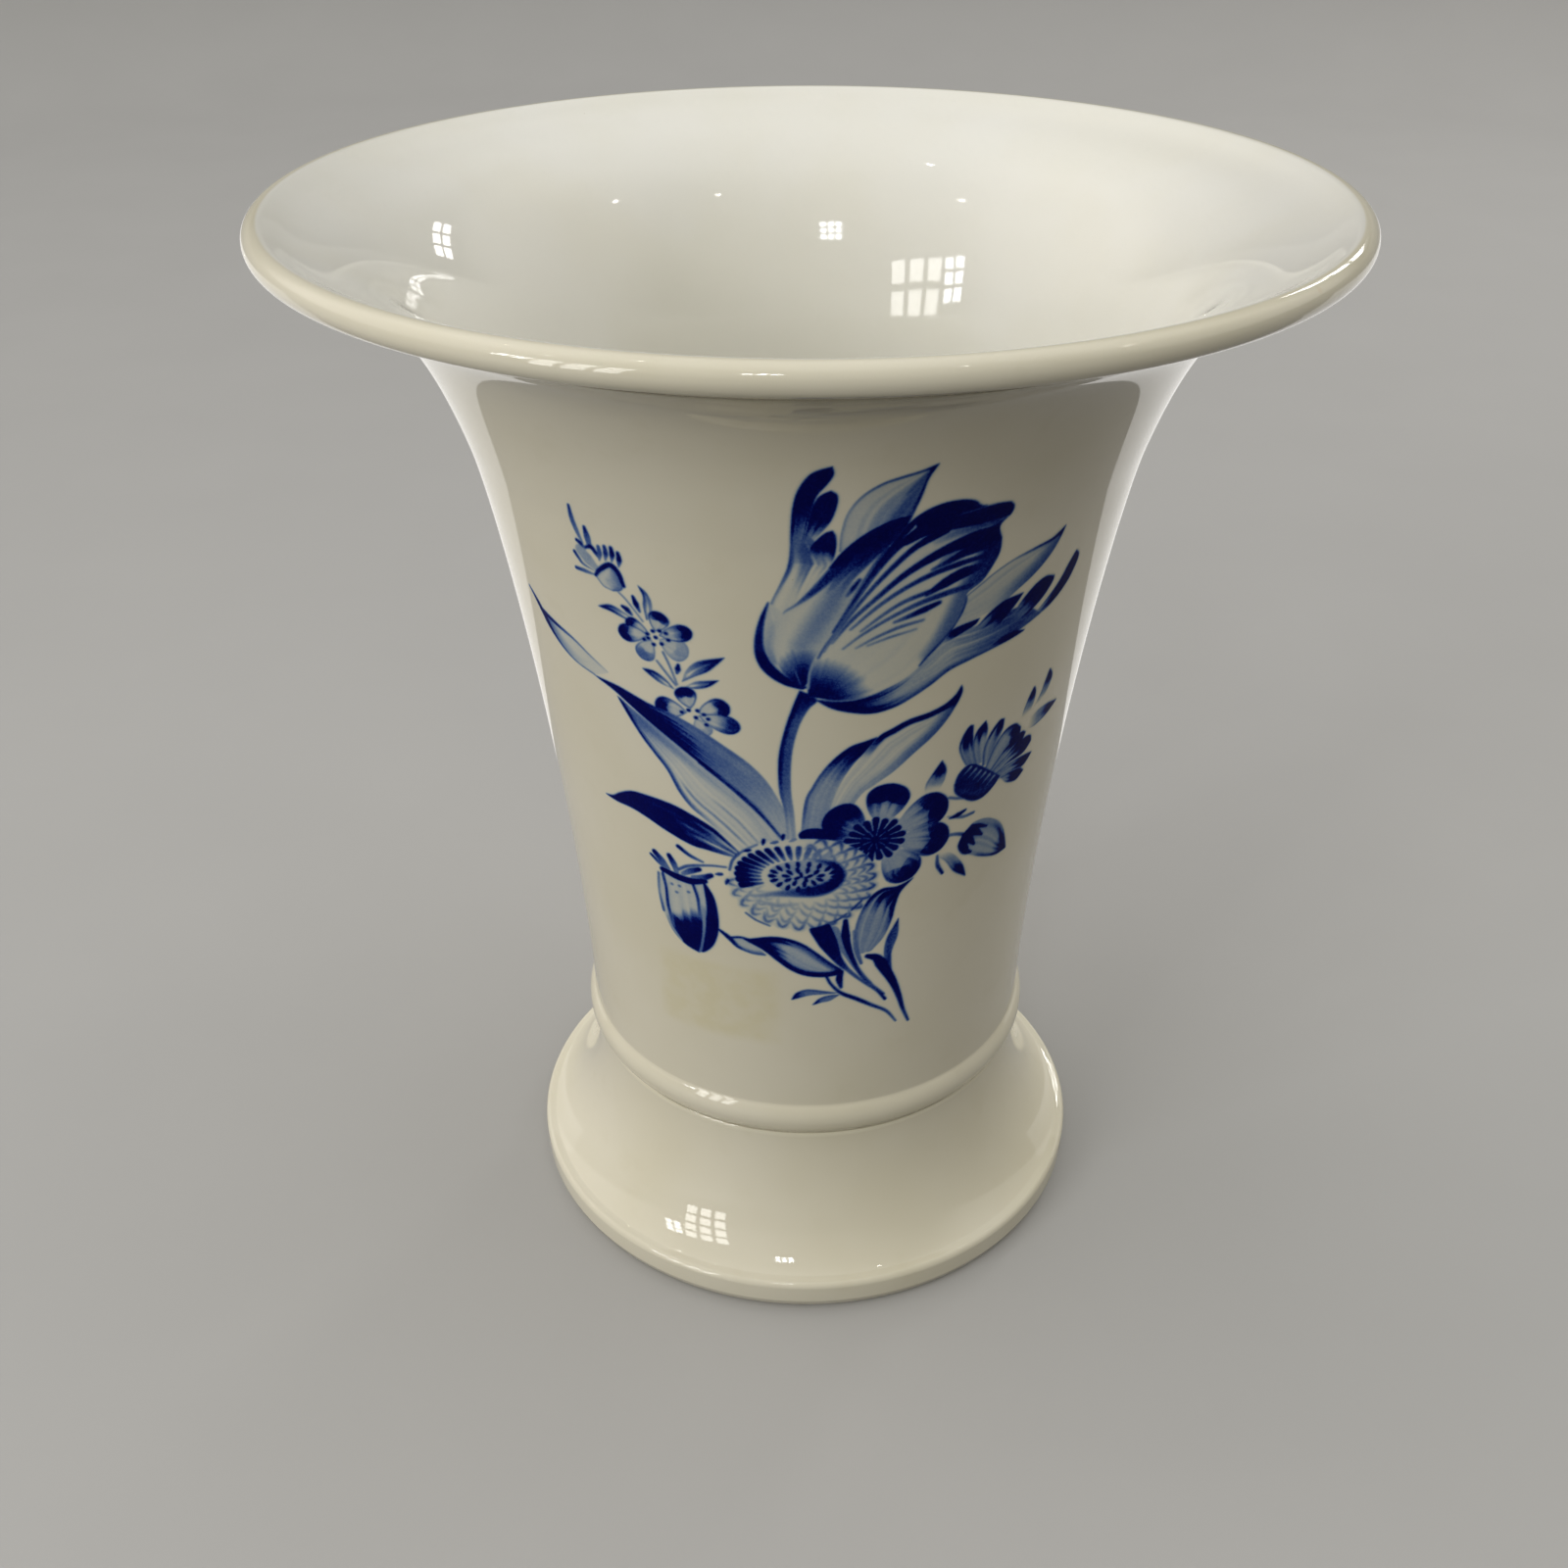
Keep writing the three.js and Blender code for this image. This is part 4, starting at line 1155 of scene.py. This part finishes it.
def stems():
    """The stems and leaves at the bottom."""
    # long leaf under the aster, with its folded tip
    tip = Petal([(-13.8, 75), (-12.4, 73.8), (-11, 72), (-8.6, 71.2), (-6.4, 71.2)],
                [(-13.8, 75), (-12, 74), (-10, 74.1), (-8.6, 73.8), (-6.4, 71.2)])
    tip.paint(0.1 + 0.35 * tip.left_edge(0.9))
    line([(-13.9, 75), (-12.6, 74), (-11.8, 73.2), (-10.6, 72), (-8.4, 71.2), (-6.4, 71.1)],
         [0.4, 0.8, 0.7, 0.4, 0.35, 0.3], [0.9, 0.95, 0.8, 0.6, 0.5, 0.5])
    line([(-12, 73.8), (-10.4, 74.2), (-9, 74)], [0.4], [0.8])
    leaf = Petal([(5.4, 67), (3, 66.7), (0, 67.1), (-2.4, 68.3), (-4.6, 70.2), (-6.8, 72.2),
                  (-9.8, 73.9)], [(5.8, 68.2), (4, 69.8), (2, 71.8), (0, 73.6), (-2.4, 74.8),
                  (-5.4, 75.1), (-9.8, 73.9)])
    hairs = leaf.hairs(14, 181)
    tone = 0.08 + 0.14 * hairs + 0.9 * rise(leaf.along + 0.25 * hairs, 0.72, 0.25)
    tone += 0.95 * smooth((1.0 - leaf.left_gap) / 0.7 + 0.5) + 0.75 * leaf.right_edge(1.5)
    leaf.paint(tone)
    # broad leaf on the right
    broad = Petal([(8.4, 71), (7.8, 75), (8.4, 79), (10, 82.6), (12, 84.2), (14.6, 84.2), (17.2, 85.2)],
                  [(10.6, 71.4), (12.6, 74), (13.8, 77.4), (14.4, 80.6), (15.2, 83), (17.2, 85.2)])
    hairs = broad.hairs(14, 183)
    tone = 0.14 + 0.16 * hairs + 0.8 * rise(broad.along + 0.3 * hairs, 0.68, 0.3)
    tone += 0.6 * broad.right_edge(1.0) * rise(broad.along, 0.2, 0.3) + 0.25 * broad.left_edge(0.6)
    broad.paint(tone)
    small = Petal([(13, 68), (12.8, 71), (13.2, 73.6), (14, 75.4), (15, 77.4)],
                  [(13.6, 68), (14.2, 71), (15, 74), (15, 77.4)])
    small.paint(0.35 + 0.4 * small.along + 0.2 * small.left_edge(0.5))
    # stems that run together to the lower right
    for points, widths, tones in (
            ([(2.4, 77), (3.8, 73.6), (5.4, 70), (7.6, 67), (9.6, 64.8), (11.8, 62.6), (13.3, 60.2)],
             [3.4, 3.0, 1.6, 0.7, 0.5, 0.6, 0.5], [1, 1, 0.95, 0.6, 0.55, 0.7, 1]),
            ([(4.4, 76.6), (6, 73), (7.6, 69.4), (9.4, 66.2), (10.8, 64.2)], [1.8, 1.6, 1.0, 0.7, 0.4],
             [0.3, 0.3, 0.35, 0.5, 0.6]),
            ([(6.3, 78.5), (6.4, 75), (7, 72), (8, 69), (9.2, 66.2), (11, 63.8), (13, 61.4)],
             [0.7, 1.4, 1.0, 0.7, 0.5, 0.45, 0.4], [1, 1, 1, 0.9, 0.7, 0.6, 0.8]),
            ([(7.9, 76), (8.2, 72), (9, 69)], [0.9, 0.9, 0.5], [0.3, 0.4, 0.5]),
            ([(10, 70.4), (11.6, 69.6), (13, 67), (14.6, 63.6), (15.8, 60), (16.6, 57), (17.7, 54)],
             [0.8, 2.0, 1.6, 1.2, 0.9, 0.6, 0.4], [1, 1, 1, 1, 0.95, 0.8, 0.7]),
            ([(14, 75), (13.6, 71), (13.8, 67.4), (14.4, 64)], [0.5, 0.9, 0.7, 0.4],
             [0.6, 0.7, 0.7, 0.8]),
            ([(3.4, 66.8), (4.2, 65), (5.8, 63), (8.4, 61.3), (11, 59.4), (13.6, 57.4), (15.4, 54.6)],
             [0.4, 0.5, 0.7, 0.7, 0.55, 0.45, 0.3], [0.9, 0.85, 0.95, 0.9, 0.8, 0.7, 0.55]),
            ([(5.7, 67.6), (5.5, 66), (5.8, 64.2)], [0.9, 1.1, 0.5], [1, 1, 0.8])):
        line(points, widths, tones)
    for left, right in (
            ([(5.4, 63), (3, 62.9), (0.6, 62.7), (-2.2, 61.7)],
             [(5.4, 63), (3, 63.6), (0.4, 64), (-1.4, 63.2), (-2.2, 61.7)]),
            ([(5.6, 62.6), (4, 61.4), (2.6, 61.1), (1.2, 60.6)],
             [(5.6, 62.6), (4, 62.6), (2.4, 62), (1.2, 60.6)])):
        leaflet = Petal(left, right)
        leaflet.paint(0.4 + 0.3 * leaflet.right_edge(0.5) + 0.4 * rise(leaflet.along, 0.6, 0.3))


# ---------------------------------------------------------------- painting and firing
TULIP, LEAVES, SPRIG, ANEMONE, ASTER, BUDS, POD, STEMS = range(1, 9)
PAINTING = ((LEAVES, far_leaf), (SPRIG, sprig), (LEAVES, great_leaf), (LEAVES, dark_leaf),
            (LEAVES, right_leaf), (LEAVES, tulip_stem), (TULIP, tulip), (STEMS, stems),
            (BUDS, right_buds), (ANEMONE, anemone), (ASTER, aster), (POD, pod))
SHEETS = {TULIP: "painted_tulip", LEAVES: "painted_leaves", SPRIG: "painted_sprig",
          ANEMONE: "painted_anemone", ASTER: "painted_aster", BUDS: "painted_buds",
          POD: "painted_pod", STEMS: "painted_stems"}
FIRED_BLUR = 0.09         # mm over which firing softens a brush mark
HALO_BLURS = (0.3, 0.4)   # mm over which the faint halo round a mark is softened, twice
HALO_SHARE = 0.12
FAINTEST = 0.012          # pigment too thin to see
FILM_EDGE = -0.008        # mm from the glaze to the sheet's hidden border
FILM_LOW = 0.012          # mm from the glaze to the thinnest pigment
FILM_HIGH = 0.030
FULL_FILM = 0.4           # pigment from which the sheet is at its highest
GROWN_CELLS = 8           # cells by which each flower reaches past its marks


def blurred(field, reach):
    """The field softened over reach mm, as the fired glaze softens a brush mark."""
    steps = np.arange(-3, 4)
    weights = np.exp(-0.5 * (steps * CELL / reach) ** 2)
    weights /= weights.sum()
    for axis in (0, 1):
        field = sum(w * np.roll(field, s, axis) for w, s in zip(weights, steps))
    return field


def grown(areas):
    """The number of the flower that each cell belongs to, faint edges included."""
    for _ in range(GROWN_CELLS):
        for axis, step in ((0, 1), (0, -1), (1, 1), (1, -1)):
            areas = np.where(areas == 0, np.roll(areas, step, axis), areas)
    return areas


def wall_at(height):
    """Radius of the outer wall in mm, and its outward normal as (radial, up), at a height."""
    radius = np.interp(height, WALL_LINE[:, 1], WALL_LINE[:, 0])
    run_r = np.interp(height, WALL_LINE[:, 1], WALL_RUN[:, 0])
    run_z = np.interp(height, WALL_LINE[:, 1], WALL_RUN[:, 1])
    return radius, run_z, -run_r


def painted_sheet(name, number, amount, areas):
    """The cells of the canvas that belong to one flower, wrapped on the body as a thin sheet."""
    corners = np.stack([amount[:-1, :-1], amount[:-1, 1:], amount[1:, 1:], amount[1:, :-1]])
    shown = corners.max(axis=0) > FAINTEST
    row, column = np.nonzero(shown & (areas[:-1, :-1] == number))
    wide = len(COLUMNS)
    first = row * wide + column
    quads = np.stack([first, first + 1, first + wide + 1, first + wide], axis=1)
    used, faces = np.unique(quads, return_inverse=True)
    faces = faces.reshape(quads.shape)
    u, v = COLUMNS[used % wide], ROWS[used // wide]
    deep = amount.ravel()[used]
    radius, out_r, out_z = wall_at(v)
    film = FILM_LOW + (FILM_HIGH - FILM_LOW) * smooth(deep / FULL_FILM)
    lift = np.where(deep > FAINTEST, film, FILM_EDGE)
    angle = u / radius
    ring = radius + lift * out_r
    points = np.stack([ring * np.sin(angle), -ring * np.cos(angle), v + lift * out_z], axis=1) * MM
    normals = np.stack([out_r * np.sin(angle), -out_r * np.cos(angle), out_z], axis=1)
    made = piece(name, points.tolist(), faces.tolist(), COBALT)
    shade = made.data.attributes.new("pigment", "FLOAT", "POINT")
    shade.data.foreach_set("value", deep.astype(np.float32))
    made.data.normals_split_custom_set_from_vertices(normals.tolist())


for flower, paint in PAINTING:
    paint()
halo = blurred(blurred(density, HALO_BLURS[0]), HALO_BLURS[1])
fired = (1 - HALO_SHARE) * blurred(density, FIRED_BLUR) + HALO_SHARE * halo
areas = grown(label)
for number, name in SHEETS.items():
    painted_sheet(name, number, fired, areas)


# ---------------------------------------------------------------- floor, backdrop and lights
STUDIO_RADIUS = 1.4
STUDIO_SEGMENTS = 96
SWEEP = 0.35              # radius of the bend between the floor and the wall
LOW_WALL = 0.45
HIGH_WALL = 1.6
FLOOR_LIGHT = (0.46, 0.455, 0.445, 1)
FLOOR_DARK = (0.4324, 0.4277, 0.4183, 1)
CEILING_LAMPS = ((-0.62, -0.30, 0.95), (-0.34, -0.06, 1.15), (0.42, -0.52, 1.05),
                 (0.62, -0.10, 0.85), (-0.16, -0.98, 0.98))
LAMP_SIZE = 0.022
LAMP_POWER = 0.07
LAMP_COLOUR = (1.0, 0.96, 0.88)


def pale_paper():
    s = Shade("pale_floor")
    s.link(s.blend(s.noise(60, 4), FLOOR_LIGHT, FLOOR_DARK), s.surface.inputs["Base Color"])
    s.surface.inputs["Roughness"].default_value = 0.6
    return s.material


def studio_shell(name, profile, material):
    """Part of the studio, turned round the vase's axis from points of (radius, z) in metres."""
    count = STUDIO_SEGMENTS
    angles = [2 * math.pi * i / count for i in range(count)]
    points = [(r * math.cos(a), r * math.sin(a), z) for r, z in profile for a in angles]
    faces = []
    for low in range(0, (len(profile) - 1) * count, count):
        for i in range(count):
            j = (i + 1) % count
            faces.append([low + i, low + j, low + count + j, low + count + i])
    mesh = bpy.data.meshes.new(name)
    mesh.from_pydata(points, [], faces)
    mesh.shade_smooth()
    mesh.materials.append(material)
    made = bpy.data.objects.new(name, mesh)
    bpy.context.scene.collection.objects.link(made)
    return made


def area_light(name, place, aim, width, height, power, colour):
    lamp = bpy.data.lights.new(name, "AREA")
    lamp.shape = "RECTANGLE"
    lamp.size, lamp.size_y = width, height
    lamp.energy = power
    lamp.color = colour
    made = bpy.data.objects.new(name, lamp)
    made.location = place
    made.rotation_euler = (Vector(aim) - Vector(place)).to_track_quat("-Z", "Y").to_euler()
    made.visible_camera = False
    bpy.context.scene.collection.objects.link(made)
    return made


def paned_window(name, place, aim, panes, pane_size, bar, power, colour):
    """A window of separate panes, so that its reflections in the gloss show the bars between them.

    panes is (columns, rows), pane_size is (width, height), and power is the whole window's.
    """
    columns, rows = panes
    width, height = pane_size
    ahead = (Vector(aim) - Vector(place)).normalized()
    aside = ahead.cross(Vector((0, 0, 1))).normalized()
    upward = aside.cross(ahead)
    for column in range(columns):
        for row in range(rows):
            shift = (aside * (column - (columns - 1) / 2) * (width + bar)
                     + upward * (row - (rows - 1) / 2) * (height + bar))
            area_light(f"{name}_{column}_{row}", Vector(place) + shift, Vector(aim) + shift,
                       width, height, power / (columns * rows), colour)


def soft_room(base, glows):
    """A dim room with soft glows, each a colour, a direction, and the angles where it is gone and full."""
    world = bpy.data.worlds.new("soft_room")
    bpy.context.scene.world = world
    world.use_nodes = True
    tree = world.node_tree
    toward = tree.nodes.new("ShaderNodeTexCoord").outputs["Generated"]
    total = None
    for colour, direction, gone, full in glows:
        facing = tree.nodes.new("ShaderNodeVectorMath")
        facing.operation = "DOT_PRODUCT"
        tree.links.new(toward, facing.inputs[0])
        facing.inputs[1].default_value = Vector(direction).normalized()
        fade = tree.nodes.new("ShaderNodeMapRange")
        fade.interpolation_type = "SMOOTHERSTEP"
        tree.links.new(facing.outputs["Value"], fade.inputs["Value"])
        fade.inputs["From Min"].default_value = math.cos(math.radians(gone))
        fade.inputs["From Max"].default_value = math.cos(math.radians(full))
        glow = tree.nodes.new("ShaderNodeVectorMath")
        glow.operation = "MULTIPLY_ADD"
        tree.links.new(fade.outputs["Result"], glow.inputs[0])
        glow.inputs[1].default_value = colour
        if total:
            tree.links.new(total, glow.inputs[2])
        else:
            glow.inputs[2].default_value = base
        total = glow.outputs["Vector"]
    tree.links.new(total, tree.nodes["Background"].inputs["Color"])


PALE = pale_paper()
bend = [(STUDIO_RADIUS - SWEEP + SWEEP * math.sin(a), SWEEP - SWEEP * math.cos(a))
        for a in np.radians(range(0, 91, 6))]
floor = studio_shell("studio_floor", [(0.0, 0.0), (0.5, 0.0)] + bend + [(STUDIO_RADIUS, LOW_WALL)], PALE)
# The floor is shown pale, but what lights the vase from below is the room's dim lower glow.
floor.visible_diffuse = False
# The upper wall is only a backdrop, so the room's light comes through it.
upper_wall = studio_shell("studio_wall", [(STUDIO_RADIUS, LOW_WALL), (STUDIO_RADIUS, HIGH_WALL)], PALE)
upper_wall.visible_diffuse = upper_wall.visible_glossy = upper_wall.visible_shadow = False

paned_window("near_window", (-0.13, -0.82, 0.80), (0, 0, 0.12), (3, 3), (0.030, 0.030), 0.013,
             0.70, (0.95, 0.98, 1.0))
paned_window("side_window", (-0.95, -0.62, 0.62), (0, 0, 0.08), (2, 3), (0.060, 0.060), 0.020,
             1.35, (0.97, 0.99, 1.0))
paned_window("far_window", (-0.72, -0.80, 0.42), (0, 0, 0.05), (3, 4), (0.090, 0.110), 0.035,
             3.6, (1.0, 0.985, 0.94))
paned_window("rear_window", (0.60, 0.95, 0.62), (0, 0, 0.10), (2, 3), (0.060, 0.070), 0.022,
             0.9, (1.0, 0.985, 0.95))
for number, place in enumerate(CEILING_LAMPS):
    area_light(f"ceiling_lamp_{number}", place, (0, 0, 0.1), LAMP_SIZE, LAMP_SIZE, LAMP_POWER, LAMP_COLOUR)

# A low white panel behind the vase runs down both sides of the body in its gloss, and lights only the vase.
low_panel = area_light("low_panel", (0, 0.127, 0.078), (0, -1, 0.078), 0.78, 0.15, 0.24, (1.0, 0.985, 0.96))
lit_pieces = bpy.data.collections.new("lit_by_low_panel")
for made in bpy.context.scene.objects:
    if made.type == "MESH" and not made.name.startswith("studio"):
        lit_pieces.objects.link(made)
low_panel.light_linking.receiver_collection = lit_pieces

soft_room((0.030, 0.030, 0.030), (
    ((1.02, 1.03, 1.02), (0.0, 0.22, 1.0), 54, 5),            # ceiling
    ((1.05, 0.98, 0.93), (-1.0, 0.15, 0.55), 45, 5),          # left
    ((0.94, 0.90, 0.83), (1.0, 0.15, 0.55), 45, 5),           # right
    ((0.38, 0.365, 0.33), (-0.10, -0.85, 0.50), 60, 10),      # behind the viewer
    ((0.07, 0.062, 0.05), (0.0, 0.0, -1.0), 88, 50),          # below
))


# ---------------------------------------------------------------- camera
# It looks down at the vase from a little above the height of its rim.
CAMERA_PLACE = (0.0, -0.2545, 0.2384)
CAMERA_DOWN = math.radians(32.346)
CAMERA_TURN = math.radians(-0.875)
CAMERA_ROLL = math.radians(0.251)
FOCAL_LENGTH = 38.940075  # mm, on a sensor 36 mm wide
SENSOR = 36.0

forward = Vector((math.sin(CAMERA_TURN) * math.cos(CAMERA_DOWN),
                  math.cos(CAMERA_TURN) * math.cos(CAMERA_DOWN),
                  -math.sin(CAMERA_DOWN)))
level = forward.cross(Vector((0, 0, 1))).normalized()
below = forward.cross(level)
right = math.cos(CAMERA_ROLL) * level + math.sin(CAMERA_ROLL) * below
down = -math.sin(CAMERA_ROLL) * level + math.cos(CAMERA_ROLL) * below
lens = bpy.data.cameras.new("camera")
lens.sensor_width = SENSOR
lens.lens = FOCAL_LENGTH
lens.clip_start = 0.01
camera = bpy.data.objects.new("camera", lens)
axes = Matrix((right, -down, -forward)).transposed()
camera.matrix_world = Matrix.Translation(CAMERA_PLACE) @ axes.to_4x4()
bpy.context.scene.collection.objects.link(camera)
bpy.context.scene.camera = camera
bpy.context.scene.view_settings.view_transform = "Standard"
